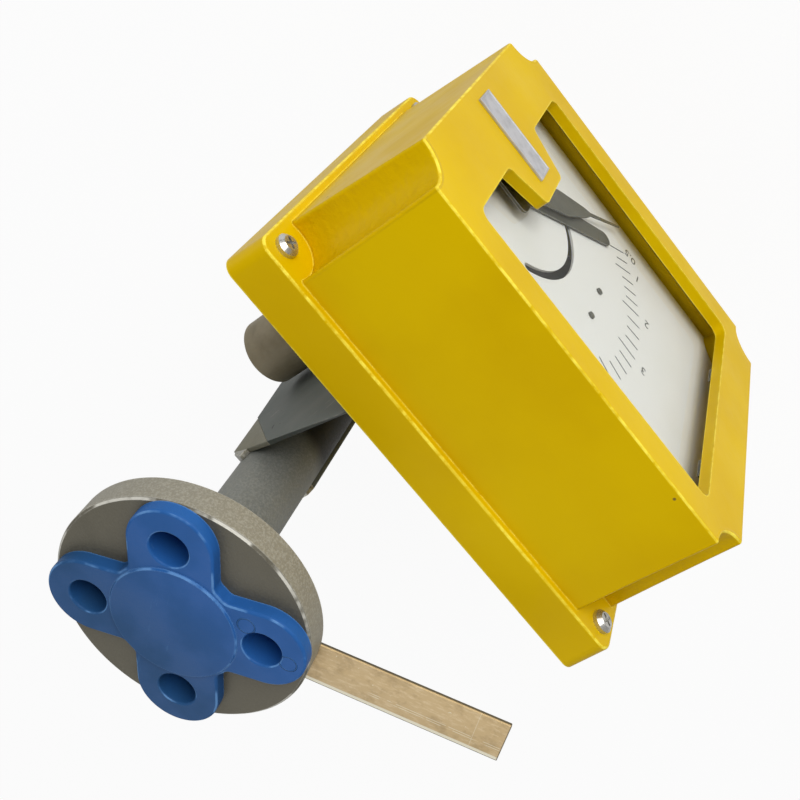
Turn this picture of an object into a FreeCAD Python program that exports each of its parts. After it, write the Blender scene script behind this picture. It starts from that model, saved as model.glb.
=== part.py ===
import FreeCAD, Part
import math
import os

# Variable area flow meter with a float in a metal tube and a dial in a cast housing.
# Millimetres, +Z up along the meter tube. The origin is the centre of the bottom flange's
# raised face. The dial faces -Y.

# Flanges: half inch, class 150, raised face
FACE_TO_FACE = 250.0
FLANGE_DIAMETER = 88.9
FLANGE_THICKNESS = 11.1
FLANGE_EDGE = 0.8
RAISED_DIAMETER = 34.9
RAISED_HEIGHT = 1.6
BOLT_CIRCLE = 60.3
BOLT_HOLE = 15.9
BOLT_COUNT = 4
BOLT_START_ANGLE = 45.0
FLOW_BORE = 15.8

# Meter tube, three quarter inch pipe
TUBE_DIAMETER = 26.7
TUBE_WALL = 2.9
TUBE_SOCKET = 7.0
WELD_LEG = 3.2

# Plastic cover that closes the top flange
CAP_PLATE = 4.8
CAP_DISC_RADIUS = 22.1
CAP_DISC_RAISE = 0.8
CAP_DISC_EDGE = 0.5
CAP_WEB_RADIUS = 23.3
CAP_LOBE_RADIUS = 14.6
CAP_PLUG_CLEARANCE = 0.25
CAP_PLUG_WALL = 1.1
CAP_PLUG_DEPTH = 9.0
CAP_PLUG_FLOOR = 1.2
CAP_NECK_FILLET = 3.0
CAP_EDGE_FILLET = 1.0
CAP_MOUTH_FILLET = 0.7
CAP_RECESS_CLEARANCE = 0.3

# Flat strip under the top flange
STRIP_WIDTH = 17.8
STRIP_THICKNESS = 1.5
STRIP_REACH = 109.0
STRIP_ANGLE = 215.7
STRIP_NEAR_EDGE = 1.7
STRIP_WELD_GAP = 0.3

# Float, its guides and the tapered liner
FLOAT_STROKE = 50.0
FLOAT_RADIUS = 6.0
FLOAT_HEAD_RADIUS = 7.2
FLOAT_LENGTH = 36.0
FLOAT_NOSE_LENGTH = 8.0
FLOAT_HEAD_HEIGHT = 4.0
FLOAT_TOP_LAND = 2.0
FLOAT_HEAD_CHAMFER = 1.0
FLOAT_MIDDLE_SHARE = 0.45
FLOAT_WALL = 1.4
FLOAT_REST_GAP = 0.3
MAGNET_LENGTH = 16.0
MAGNET_CLEARANCE = 0.1
ROD_RADIUS = 1.5
ROD_END_MARGIN = 3.0
RUNNING_CLEARANCE = 0.05
GUIDE_HEIGHT = 8.0
GUIDE_HUB_RADIUS = 3.6
GUIDE_RIM = 1.4
GUIDE_SPOKE = 1.6
GUIDE_SPOKE_COUNT = 3
SLIP_CLEARANCE = 0.05
LINER_INLET_RADIUS = 7.5
LINER_OUTLET_RADIUS = 9.3
LINER_STRAIGHT = 24.0
LINER_GAP = 1.0

# Dial housing, a drafted casting with a ledge round its foot
HOUSING_WIDTH = 163.0
HOUSING_HEIGHT = 141.8
HOUSING_CENTRE_X = -14.2
HOUSING_FRONT_Y = -136.9
HOUSING_REAR_Y = -67.5
SKIRT_DEPTH = 16.1
SIDE_DRAFT = 4.1
LEDGE_MARGIN = 6.9
SKIRT_DRAFT = 1.0
SKIRT_CORNER = 5.0
COVER_WALL = 4.0
FRONT_WALL = 4.5
SKIRT_WALL = 3.0
LEDGE_FLOOR = 4.0
NOTCH_RADIUS = 11.6
COVER_EDGE_FILLET = 1.1
SCREW_INSET_X = 0.1
SCREW_INSET_Z = 1.4

# Window in the front wall, with a tab that carries the nameplate
WINDOW_LEFT_BORDER = 19.2
WINDOW_RIGHT_BORDER = 27.0
WINDOW_TOP_BORDER = 13.0
WINDOW_BOTTOM_BORDER = 13.4
WINDOW_CORNER = 4.0
TAB_REACH = 18.7
TAB_ROOT_HEIGHT = 40.0
TAB_TIP_HEIGHT = 25.0
TAB_FILLET = 3.0
GLASS_OVERLAP = 4.6
GLASS_THICKNESS = 2.0
GLASS_CORNER = 3.0
WINDOW_SEAL = 0.6
WINDOW_SEAL_WIDTH = 3.6
CLIP_WIDTH = 9.0
CLIP_LIP = 1.6
CLIP_FOOT = 3.0
CLIP_THICKNESS = 0.9
CLIP_SIDE_GAP = 0.3
NAMEPLATE_LENGTH = 34.4
NAMEPLATE_HEIGHT = 11.6
NAMEPLATE_THICKNESS = 1.0
NAMEPLATE_RIM = 0.7
NAMEPLATE_RIM_DEPTH = 0.3
NAMEPLATE_OFFSET = 4.8

# Back tray that closes the housing and carries the mechanism
TRAY_PLATE = 3.0
TRAY_RIM = 3.0
TRAY_GAP = 0.3
SEAL_THICKNESS = 1.0
SEAL_WIDTH = 2.4
TRAY_BOSS_RADIUS = 5.0
BLIND_FLOOR = 0.6
COVER_SCREW_RADIUS = 2.0
COVER_SCREW_DEPTH = 7.5
SCREW_HEAD_RADIUS = 4.0
SCREW_HEAD_HEIGHT = 2.9
SCREW_RECESS_WIDTH = 0.9
SCREW_RECESS_LENGTH = 4.4
SCREW_RECESS_DEPTH = 1.4
SCREW_HOLE_CLEARANCE = 0.25
SCREW_TIP_GAP = 0.5
SCREW_DOME_SHARE = 0.45
SCREW_CROSS_ANGLE = 30.0

# Dial
DIAL_DEPTH = 12.8
DIAL_THICKNESS = 1.0
DIAL_EDGE_GAP = 1.0
DIAL_CORNER = 2.0
PIVOT_X = 31.3
SLOT_RADIUS = 34.7
SLOT_WIDTH = 3.4
SLOT_HALF_ANGLE = 54.0
SLOT_WEDGE_SHARE = 3.0
DIAL_SCREW_X = -19.8
DIAL_SCREW_RISE = 2.7
DIAL_SCREW_SPREAD = 9.4
DIAL_SCREW_RADIUS = 1.4
DIAL_SCREW_HEAD = 2.2
DIAL_SCREW_HEAD_HEIGHT = 0.7

# Mechanism between the dial and the tray
MOVEMENT_PLATE = 2.5
MOVEMENT_GAP = 7.0
MOVEMENT_LEFT = -28.0
MOVEMENT_RIGHT = 54.0
MOVEMENT_HALF_HEIGHT = 24.0
MOVEMENT_CORNER = 4.0
SPACER_RADIUS = 3.6
POST_RADIUS = 4.0
POST_INSET = 4.8
POST_STUD_RADIUS = 1.8
POST_NUT_HEIGHT = 2.4
POST_NUT_WIDTH = 6.4
SHAFT_RADIUS = 1.25
SLEEVE_RADIUS = 3.2
SLEEVE_FLANGE_RADIUS = 5.2
SLEEVE_FLANGE = 1.2
SLEEVE_PROUD = 0.5
SHAFT_FRONT_GAP = 0.1
BRIDGE_REACH = 8.4
BRIDGE_FOOT = 14.0
BRIDGE_HALF_HEIGHT = 13.8
BRIDGE_THICKNESS = 1.0
BRIDGE_CORNER = 3.0
BRIDGE_GLASS_GAP = 0.5
BRIDGE_POST_RADIUS = 2.2
BRIDGE_POST_SIDE = 3.2
BRIDGE_POST_END = 3.0
BRIDGE_SCREW_HEAD = 0.3

# Pointer and setting arm, both drawn at rest
POINTER_REST_ANGLE = 229.5
POINTER_LENGTH = 73.5
POINTER_BLADE_END = 47.0
POINTER_BLADE_WIDTH = 11.5
POINTER_SHOULDER_WIDTH = 4.6
POINTER_NEEDLE_WIDTH = 1.5
POINTER_TIP_WIDTH = 0.6
POINTER_NECK = 4.0
POINTER_ROOT_SHARE = 0.8
POINTER_WIDEST_SHARE = 0.66
POINTER_TAIL = 7.0
POINTER_THICKNESS = 0.6
POINTER_HUB_RADIUS = 3.8
POINTER_HUB_HEIGHT = 1.2
POINTER_LEVEL = 3.0
COUNTERWEIGHT_RADIUS = 3.0
COUNTERWEIGHT_HEIGHT = 1.2
ARM_REST_ANGLE = 222.8
ARM_LENGTH = 64.0
ARM_ROOT_WIDTH = 11.0
ARM_END_WIDTH = 6.6
ARM_THICKNESS = 0.6
ARM_LEVEL = 0.7
ARM_PIN_RADIUS = 1.1
ARM_PIN_DEPTH = 3.4
ARM_FRICTION_WASHER = 0.4

# Follower magnet in its round can beside the tube
CAN_RADIUS = 14.0
CAN_WALL = 1.0
CAN_END_Y = 3.5
CAN_FLANGE_RADIUS = 19.0
CAN_FLANGE = 1.5
CAN_SCREW_COUNT = 3
CAN_SCREW_CIRCLE = 16.6
CAN_SCREW_RADIUS = 1.2
CAN_SCREW_HEAD = 2.0
CAN_SCREW_HEAD_HEIGHT = 1.2
CAN_EDGE = 1.2
CAN_FIT = 0.1
FOLLOWER_LENGTH = 20.0
FOLLOWER_WIDTH = 7.0
FOLLOWER_DEPTH = 8.0
FOLLOWER_END_GAP = 3.0
HOLDER_RADIUS = 4.5
HOLDER_LENGTH = 6.0
REAR_BUSH_RADIUS = 3.0
REAR_BUSH_LENGTH = 2.0
SHAFT_END_PLAY = 0.2

# Folded bracket between the tube and the tray, with two lugs of the same sheet.
# A rise or a drop is measured from the meter's middle.
BRACKET_SHEET = 2.0
BRACKET_EDGE_RISE = 51.9
BRACKET_SLOPE = 0.404
BRACKET_HEEL_Y = 23.4
BRACKET_HEEL_DROP = 45.0
SEAM_TOP_Y = -16.5
SEAM_END_Y = 14.2
SEAM_END_RISE = 19.4
LUG_STEP_SHARE = 0.04
LUG_SHOULDER_Y = 3.0
LUG_TIP_Y = 10.7
LUG_TIP_RISE = 46.3
FINGER_SEAM_Y = -14.0
FINGER_FRONT_Y = -2.3
FINGER_REAR_Y = 8.0
FINGER_RISE = 40.0
FINGER_SHOULDER_DROP = 13.0
NARROW_WALL_DROP = 15.0
BRACKET_SCREW_X = 7.0
BRACKET_SCREW_SPREAD = 52.0
BRACKET_SCREW_RADIUS = 2.5
BRACKET_SCREW_HEAD_WIDTH = 8.0
BRACKET_SCREW_HEAD_HEIGHT = 3.5
BRACKET_BOSS_RADIUS = 5.5
BRACKET_BOSS_HEIGHT = 6.0
BRACKET_SCREW_TIP_GAP = 1.5
TACK_NEAR_Y = 3.5
TACK_FAR_Y = 6.0
TACK_LENGTH = 6.0
TACK_DROP = 36.0
TIP_BEAD_NEAR_Y = -1.0
TIP_BEAD_FAR_Y = 9.0
TIP_BEAD_HEIGHT = 3.5
TIP_BEAD_INSET = 1.8

# How far cutting shapes run past the face they open
PAST = 1.0

# Places worked out from the sizes above
CENTRE_Z = FACE_TO_FACE / 2
FLANGE_TOTAL = FLANGE_THICKNESS + RAISED_HEIGHT
FLANGE_RADIUS = FLANGE_DIAMETER / 2
TUBE_RADIUS = TUBE_DIAMETER / 2
TUBE_BORE_RADIUS = TUBE_RADIUS - TUBE_WALL
LEDGE_Y = HOUSING_REAR_Y - SKIRT_DEPTH
SHOULDER_Y = LEDGE_Y + LEDGE_FLOOR
FRONT_INNER_Y = HOUSING_FRONT_Y + FRONT_WALL
TRAY_FRONT_Y = HOUSING_REAR_Y - TRAY_PLATE
HALF_WIDTH = HOUSING_WIDTH / 2
HALF_HEIGHT = HOUSING_HEIGHT / 2
SCREW_OFFSET_X = HALF_WIDTH - SCREW_INSET_X
SCREW_OFFSET_Z = HALF_HEIGHT - SCREW_INSET_Z
WINDOW_LEFT = HOUSING_CENTRE_X - HALF_WIDTH + WINDOW_LEFT_BORDER
WINDOW_RIGHT = HOUSING_CENTRE_X + HALF_WIDTH - WINDOW_RIGHT_BORDER
WINDOW_BOTTOM = CENTRE_Z - HALF_HEIGHT + WINDOW_BOTTOM_BORDER
WINDOW_TOP = CENTRE_Z + HALF_HEIGHT - WINDOW_TOP_BORDER
WINDOW_CENTRE_X = (WINDOW_LEFT + WINDOW_RIGHT) / 2
WINDOW_CENTRE_Z = (WINDOW_BOTTOM + WINDOW_TOP) / 2
NAMEPLATE_CENTRE_X = WINDOW_RIGHT + NAMEPLATE_OFFSET
GLASS_FRONT_Y = FRONT_INNER_Y + WINDOW_SEAL
GLASS_REAR_Y = GLASS_FRONT_Y + GLASS_THICKNESS
DIAL_Y = HOUSING_FRONT_Y + DIAL_DEPTH
DIAL_REAR_Y = DIAL_Y + DIAL_THICKNESS
MOVEMENT_Y = DIAL_REAR_Y + MOVEMENT_GAP
MOVEMENT_REAR_Y = MOVEMENT_Y + MOVEMENT_PLATE
ARM_FRONT_Y = DIAL_Y - ARM_LEVEL - ARM_THICKNESS
POINTER_FRONT_Y = DIAL_Y - POINTER_LEVEL - POINTER_THICKNESS
BRIDGE_FRONT_Y = GLASS_REAR_Y + BRIDGE_GLASS_GAP + BRIDGE_SCREW_HEAD
BRIDGE_REAR_Y = BRIDGE_FRONT_Y + BRIDGE_THICKNESS
CAN_INNER_END_Y = CAN_END_Y - CAN_WALL
SHAFT_END_Y = CAN_INNER_END_Y - SHAFT_END_PLAY
FOLLOWER_REAR_Y = CAN_INNER_END_Y - REAR_BUSH_LENGTH - FOLLOWER_END_GAP
FLOAT_REST_Z = CENTRE_Z - FLOAT_STROKE / 2 - FLOAT_LENGTH * FLOAT_MIDDLE_SHARE

Y_AXIS = FreeCAD.Vector(0, 1, 0)
Z_AXIS = FreeCAD.Vector(0, 0, 1)
PIVOT = FreeCAD.Vector(PIVOT_X, 0, CENTRE_Z)
NODES = {}


def point(x, y, z):
    return FreeCAD.Vector(x, y, z)


def block(x0, x1, y0, y1, z0, z1):
    """Box between two corners."""
    return Part.makeBox(x1 - x0, y1 - y0, z1 - z0, point(x0, y0, z0))


def rod_y(radius, y0, y1, x, z):
    """Round bar along Y."""
    return Part.makeCylinder(radius, y1 - y0, point(x, y0, z), Y_AXIS)


def rod_z(radius, z0, z1, x=0.0, y=0.0):
    """Round bar along Z."""
    return Part.makeCylinder(radius, z1 - z0, point(x, y, z0), Z_AXIS)


def turned(profile, centre=None, axis=None):
    """Solid turned from (radius, height) points about +Z, or about another axis."""
    wire = Part.makePolygon([point(r, 0, h) for r, h in profile + profile[:1]])
    solid = Part.Face(wire).revolve(point(0, 0, 0), Z_AXIS, 360)
    if axis is not None:
        solid.Placement = FreeCAD.Placement(centre, FreeCAD.Rotation(Z_AXIS, axis))
    return solid


def sheet_y(outline, y0, y1):
    """Plate parallel to the dial, from (x, z) points."""
    wire = Part.makePolygon([point(x, y0, z) for x, z in outline + outline[:1]])
    return Part.Face(wire).extrude(point(0, y1 - y0, 0))


def sheet_x(outline, x0, x1):
    """Plate parallel to the housing's side, from (y, z) points."""
    wire = Part.makePolygon([point(x0, y, z) for y, z in outline + outline[:1]])
    return Part.Face(wire).extrude(point(x1 - x0, 0, 0))


def rounded_wire(half_x, half_z, radius, y, centre_x, centre_z):
    """Rectangle with round corners in the plane y."""
    edges = []
    corners = [(1, 1), (-1, 1), (-1, -1), (1, -1)]
    for index, (sx, sz) in enumerate(corners):
        start_angle = 90.0 * index
        centre = point(centre_x + sx * (half_x - radius), y, centre_z + sz * (half_z - radius))
        ring = [centre + radius * direction_y(start_angle + turn) for turn in (0, 45, 90)]
        edges.append((ring[0], Part.Arc(*ring).toShape(), ring[2]))
    parts = []
    for index, (_, arc, end) in enumerate(edges):
        parts.append(arc)
        parts.append(Part.makeLine(end, edges[(index + 1) % 4][0]))
    return Part.Wire(parts)


def direction_y(angle):
    """Unit vector at an angle seen on the dial: 0 along +X, 90 up."""
    turn = math.radians(angle)
    return point(math.cos(turn), 0, math.sin(turn))


def plate(half_x, half_z, radius, y0, y1, centre_x=HOUSING_CENTRE_X, centre_z=CENTRE_Z):
    """Plate with round corners, parallel to the dial."""
    wire = rounded_wire(half_x, half_z, radius, y0, centre_x, centre_z)
    return Part.Face(wire).extrude(point(0, y1 - y0, 0))


def tapered(half_x, half_z, grow, y0, y1, radius=None):
    """Block about the housing's centre that grows by a draft from y0 to y1."""
    if radius is None:
        ends = []
        for y, extra in ((y0, 0.0), (y1, grow)):
            hx, hz = half_x + extra, half_z + extra
            outline = [(hx, hz), (-hx, hz), (-hx, -hz), (hx, -hz), (hx, hz)]
            ends.append(Part.makePolygon([point(HOUSING_CENTRE_X + x, y, CENTRE_Z + z) for x, z in outline]))
    else:
        ends = [rounded_wire(half_x + extra, half_z + extra, radius, y, HOUSING_CENTRE_X, CENTRE_Z)
                for y, extra in ((y0, 0.0), (y1, grow))]
    return Part.makeLoft(ends, True, True)


def hexagon_bar(across_flats, y0, y1, x, z):
    """Hexagonal bar along Y."""
    corner = across_flats / math.sqrt(3)
    outline = [(x + corner * math.cos(math.radians(60 * k)), z + corner * math.sin(math.radians(60 * k)))
               for k in range(6)]
    return sheet_y(outline, y0, y1)


def fillet_where(solid, radius, chosen):
    """Round the edges of a solid that a test picks."""
    return solid.makeFillet(radius, [edge for edge in solid.Edges if chosen(edge)])


def runs_along(edge, axis):
    """True for a straight edge parallel to an axis."""
    if len(edge.Vertexes) != 2 or edge.Curve.TypeId != "Part::GeomLine":
        return False
    run = edge.Vertexes[1].Point - edge.Vertexes[0].Point
    return abs(abs(run.dot(axis)) - run.Length) < 1e-6


def at_dial_angle(shape, angle):
    """Turn a shape drawn along +X from the pivot to an angle on the dial."""
    shape.rotate(PIVOT, Y_AXIS, -angle)
    return shape


def bolt_points():
    """Centres of the flange's bolt holes."""
    radius = BOLT_CIRCLE / 2
    angles = [math.radians(BOLT_START_ANGLE + 360.0 / BOLT_COUNT * k) for k in range(BOLT_COUNT)]
    return [(radius * math.cos(a), radius * math.sin(a)) for a in angles]


def corner_points():
    """Axes of the four cover screws."""
    return [(HOUSING_CENTRE_X + sx * SCREW_OFFSET_X, CENTRE_Z + sz * SCREW_OFFSET_Z)
            for sx in (-1, 1) for sz in (-1, 1)]


def mirrored_up(shape):
    """The same shape at the other end of the meter."""
    return shape.mirror(point(0, 0, CENTRE_Z), Z_AXIS)


def make_flange():
    """Bottom flange with raised face, flow bore, tube socket and bolt holes."""
    raised = RAISED_DIAMETER / 2
    profile = [(FLOW_BORE / 2, 0), (raised, 0), (raised, RAISED_HEIGHT),
               (FLANGE_RADIUS - FLANGE_EDGE, RAISED_HEIGHT), (FLANGE_RADIUS, RAISED_HEIGHT + FLANGE_EDGE),
               (FLANGE_RADIUS, FLANGE_TOTAL - FLANGE_EDGE), (FLANGE_RADIUS - FLANGE_EDGE, FLANGE_TOTAL),
               (TUBE_RADIUS, FLANGE_TOTAL), (TUBE_RADIUS, FLANGE_TOTAL - TUBE_SOCKET),
               (FLOW_BORE / 2, FLANGE_TOTAL - TUBE_SOCKET)]
    flange = turned(profile)
    for x, y in bolt_points():
        flange = flange.cut(rod_z(BOLT_HOLE / 2, 0, FLANGE_TOTAL + PAST, x, y))
    return flange


def make_tube():
    """Meter tube, let into both flanges."""
    low = FLANGE_TOTAL - TUBE_SOCKET
    high = FACE_TO_FACE - low
    return rod_z(TUBE_RADIUS, low, high).cut(rod_z(TUBE_BORE_RADIUS, low - PAST, high + PAST))


def make_weld():
    """Fillet weld round the tube on the back of the bottom flange."""
    return turned([(TUBE_RADIUS, FLANGE_TOTAL), (TUBE_RADIUS + WELD_LEG, FLANGE_TOTAL),
                   (TUBE_RADIUS, FLANGE_TOTAL + WELD_LEG)])


def make_flange_cap():
    """Four lobed plastic cover with hollow plugs that push into the bolt holes."""
    seat = FACE_TO_FACE - RAISED_HEIGHT
    top = seat + CAP_PLATE
    cover = rod_z(CAP_WEB_RADIUS, seat, top)
    for k in range(BOLT_COUNT):
        lobe = block(0, BOLT_CIRCLE / 2, -CAP_LOBE_RADIUS, CAP_LOBE_RADIUS, seat, top)
        lobe = lobe.fuse(rod_z(CAP_LOBE_RADIUS, seat, top, BOLT_CIRCLE / 2))
        lobe.rotate(point(0, 0, 0), Z_AXIS, BOLT_START_ANGLE + 360.0 / BOLT_COUNT * k)
        cover = cover.fuse(lobe)
    cover = cover.removeSplitter()
    cover = fillet_where(cover, CAP_NECK_FILLET, lambda edge: runs_along(edge, Z_AXIS)
                         and abs(Z_AXIS.cross(edge.CenterOfMass).Length - CAP_WEB_RADIUS) < PAST)
    cover = fillet_where(cover, CAP_EDGE_FILLET, lambda edge: abs(edge.BoundBox.ZMin - top) < 1e-6)
    cover = cover.fuse(turned([(0, top - PAST), (CAP_DISC_RADIUS, top - PAST),
                               (CAP_DISC_RADIUS, top + CAP_DISC_RAISE - CAP_DISC_EDGE),
                               (CAP_DISC_RADIUS - CAP_DISC_EDGE, top + CAP_DISC_RAISE),
                               (0, top + CAP_DISC_RAISE)]))
    plug_radius = BOLT_HOLE / 2 - CAP_PLUG_CLEARANCE
    bottom = seat - CAP_PLUG_DEPTH
    for x, y in bolt_points():
        cover = cover.fuse(rod_z(plug_radius, bottom, top, x, y))
        cover = cover.cut(rod_z(plug_radius - CAP_PLUG_WALL, bottom + CAP_PLUG_FLOOR, top + PAST, x, y))
    cover = fillet_where(cover, CAP_MOUTH_FILLET, lambda edge: abs(edge.BoundBox.ZMin - top) < 1e-6
                         and abs(edge.BoundBox.XLength / 2 - plug_radius + CAP_PLUG_WALL) < 1e-3)
    recess = rod_z(RAISED_DIAMETER / 2 + CAP_RECESS_CLEARANCE, seat - PAST, FACE_TO_FACE)
    return cover.cut(recess)


def make_strip():
    """Flat strip welded under the top flange, notched round the tube's weld."""
    top = FACE_TO_FACE - FLANGE_TOTAL
    low = top - STRIP_THICKNESS
    strip = block(0, STRIP_REACH, -STRIP_NEAR_EDGE - STRIP_WIDTH, -STRIP_NEAR_EDGE, low, top)
    strip = strip.cut(rod_z(TUBE_RADIUS + WELD_LEG + STRIP_WELD_GAP, low - PAST, top + PAST))
    strip = max(strip.Solids, key=lambda solid: solid.Volume)
    strip.rotate(point(0, 0, 0), Z_AXIS, STRIP_ANGLE)
    return strip


def make_float():
    """Float with its lower rod, and a bore from the top for the magnet."""
    base = FLOAT_REST_Z
    top = base + FLOAT_LENGTH
    rod_low = base - FLOAT_REST_GAP - GUIDE_HEIGHT - FLOAT_STROKE - ROD_END_MARGIN
    head_low = top - FLOAT_HEAD_HEIGHT - FLOAT_TOP_LAND
    bore_low = base + FLOAT_NOSE_LENGTH
    bore = FLOAT_RADIUS - FLOAT_WALL
    return turned([(0, rod_low), (ROD_RADIUS, rod_low), (ROD_RADIUS, base), (GUIDE_HUB_RADIUS, base),
                   (FLOAT_RADIUS, base + FLOAT_NOSE_LENGTH), (FLOAT_RADIUS, head_low - FLOAT_HEAD_CHAMFER),
                   (FLOAT_HEAD_RADIUS, head_low), (FLOAT_HEAD_RADIUS, head_low + FLOAT_HEAD_CHAMFER),
                   (FLOAT_RADIUS, head_low + FLOAT_HEAD_HEIGHT), (FLOAT_RADIUS, top), (bore, top),
                   (bore, bore_low), (0, bore_low)])


def make_float_magnet():
    """Round magnet in the float's bore."""
    low = FLOAT_REST_Z + FLOAT_NOSE_LENGTH
    return rod_z(FLOAT_RADIUS - FLOAT_WALL - MAGNET_CLEARANCE, low, low + MAGNET_LENGTH)


def make_float_plug():
    """Plug that closes the float on its magnet, with the upper rod."""
    top = FLOAT_REST_Z + FLOAT_LENGTH
    low = FLOAT_REST_Z + FLOAT_NOSE_LENGTH + MAGNET_LENGTH
    bore = FLOAT_RADIUS - FLOAT_WALL
    rod_top = top + FLOAT_STROKE + FLOAT_REST_GAP + GUIDE_HEIGHT + ROD_END_MARGIN
    shoulder = top + FLOAT_TOP_LAND
    return turned([(0, low), (bore, low), (bore, top), (FLOAT_RADIUS, top), (GUIDE_HUB_RADIUS, shoulder),
                   (ROD_RADIUS, shoulder), (ROD_RADIUS, rod_top), (0, rod_top)])


def make_guide(low):
    """Spider that centres the float's rod in the tube."""
    high = low + GUIDE_HEIGHT
    outer = TUBE_BORE_RADIUS - SLIP_CLEARANCE
    guide = rod_z(outer, low, high).cut(rod_z(outer - GUIDE_RIM, low - PAST, high + PAST))
    guide = guide.fuse(rod_z(GUIDE_HUB_RADIUS, low, high))
    for k in range(GUIDE_SPOKE_COUNT):
        spoke = block(GUIDE_HUB_RADIUS - GUIDE_RIM / 2, outer - GUIDE_RIM / 2, -GUIDE_SPOKE / 2,
                      GUIDE_SPOKE / 2, low, high)
        spoke.rotate(point(0, 0, 0), Z_AXIS, 360.0 / GUIDE_SPOKE_COUNT * k)
        guide = guide.fuse(spoke)
    return guide.cut(rod_z(ROD_RADIUS + RUNNING_CLEARANCE, low - PAST, high + PAST)).removeSplitter()


def make_liner():
    """Liner whose bore opens upwards, so that the float's height follows the flow."""
    low = FLOAT_REST_Z + LINER_GAP
    high = upper_guide_low() - LINER_GAP
    outer = TUBE_BORE_RADIUS - SLIP_CLEARANCE
    return turned([(LINER_INLET_RADIUS, low), (outer, low), (outer, high), (LINER_OUTLET_RADIUS, high),
                   (LINER_INLET_RADIUS, low + LINER_STRAIGHT)])


def lower_guide_low():
    return FLOAT_REST_Z - FLOAT_REST_GAP - GUIDE_HEIGHT


def upper_guide_low():
    return FLOAT_REST_Z + FLOAT_LENGTH + FLOAT_TOP_LAND + FLOAT_STROKE + FLOAT_REST_GAP


def make_window_cut(y0, y1):
    """Window opening with its tab, as a solid to cut out of the front wall."""
    opening = block(WINDOW_LEFT, WINDOW_RIGHT, y0, y1, WINDOW_BOTTOM, WINDOW_TOP)
    opening = fillet_where(opening, WINDOW_CORNER, lambda edge: runs_along(edge, Y_AXIS))
    tip_x = WINDOW_RIGHT - TAB_REACH
    root, tip = TAB_ROOT_HEIGHT / 2, TAB_TIP_HEIGHT / 2
    tab = sheet_y([(WINDOW_RIGHT + PAST, CENTRE_Z - root), (WINDOW_RIGHT + PAST, CENTRE_Z + root),
                   (WINDOW_RIGHT, CENTRE_Z + root), (tip_x, CENTRE_Z + tip), (tip_x, CENTRE_Z - tip),
                   (WINDOW_RIGHT, CENTRE_Z - root)], y0 - PAST, y1 + PAST)
    opening = opening.cut(tab)
    return fillet_where(opening, TAB_FILLET, lambda edge: runs_along(edge, Y_AXIS)
                        and abs(edge.CenterOfMass.z - CENTRE_Z) < root + PAST)


def make_cover():
    """Cast cover: drafted box with round notches down to the ledge, and a skirt."""
    box = tapered(HALF_WIDTH, HALF_HEIGHT, SIDE_DRAFT, HOUSING_FRONT_Y, LEDGE_Y)
    for x, z in corner_points():
        box = box.cut(rod_y(NOTCH_RADIUS, HOUSING_FRONT_Y - PAST, LEDGE_Y + PAST, x, z))
    box = fillet_where(box, COVER_EDGE_FILLET, lambda edge: edge.BoundBox.YMin < LEDGE_Y - PAST)
    ledge_x, ledge_z = HALF_WIDTH + LEDGE_MARGIN, HALF_HEIGHT + LEDGE_MARGIN
    skirt = tapered(ledge_x, ledge_z, SKIRT_DRAFT, LEDGE_Y, HOUSING_REAR_Y, SKIRT_CORNER)
    skirt = fillet_where(skirt, COVER_EDGE_FILLET, lambda edge: abs(edge.BoundBox.YMax - LEDGE_Y) < 1e-6)
    cover = box.fuse(skirt)
    taper = SIDE_DRAFT / (LEDGE_Y - HOUSING_FRONT_Y)
    front_half = HALF_WIDTH - COVER_WALL + taper * FRONT_WALL, HALF_HEIGHT - COVER_WALL + taper * FRONT_WALL
    depth = SHOULDER_Y - FRONT_INNER_Y
    cavity = tapered(*front_half, taper * depth, FRONT_INNER_Y, SHOULDER_Y)
    for x, z in corner_points():
        cavity = cavity.cut(rod_y(NOTCH_RADIUS + COVER_WALL, FRONT_INNER_Y - PAST, SHOULDER_Y + PAST, x, z))
    pocket = tapered(ledge_x - SKIRT_WALL, ledge_z - SKIRT_WALL, 0, SHOULDER_Y, HOUSING_REAR_Y + PAST,
                     SKIRT_CORNER - SKIRT_WALL)
    cover = cover.cut(cavity).cut(pocket).cut(make_window_cut(HOUSING_FRONT_Y - PAST, FRONT_INNER_Y + PAST))
    for x, z in corner_points():
        cover = cover.cut(rod_y(COVER_SCREW_RADIUS + SCREW_HOLE_CLEARANCE, LEDGE_Y - PAST,
                                SHOULDER_Y + PAST, x, z))
    return cover.removeSplitter()


def make_nameplate():
    """Blank plate with a raised rim on the tab."""
    left = NAMEPLATE_CENTRE_X - NAMEPLATE_LENGTH / 2
    right = NAMEPLATE_CENTRE_X + NAMEPLATE_LENGTH / 2
    low, high = CENTRE_Z - NAMEPLATE_HEIGHT / 2, CENTRE_Z + NAMEPLATE_HEIGHT / 2
    front = HOUSING_FRONT_Y - NAMEPLATE_THICKNESS
    shape = block(left, right, front, HOUSING_FRONT_Y, low, high)
    field = block(left + NAMEPLATE_RIM, right - NAMEPLATE_RIM, front - PAST, front + NAMEPLATE_RIM_DEPTH,
                  low + NAMEPLATE_RIM, high - NAMEPLATE_RIM)
    return shape.cut(field)


def glass_half():
    """Half width and half height of the glass."""
    return (WINDOW_RIGHT - WINDOW_LEFT) / 2 + GLASS_OVERLAP, (WINDOW_TOP - WINDOW_BOTTOM) / 2 + GLASS_OVERLAP


def make_glass():
    return plate(*glass_half(), GLASS_CORNER, GLASS_FRONT_Y, GLASS_REAR_Y, WINDOW_CENTRE_X, WINDOW_CENTRE_Z)


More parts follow.
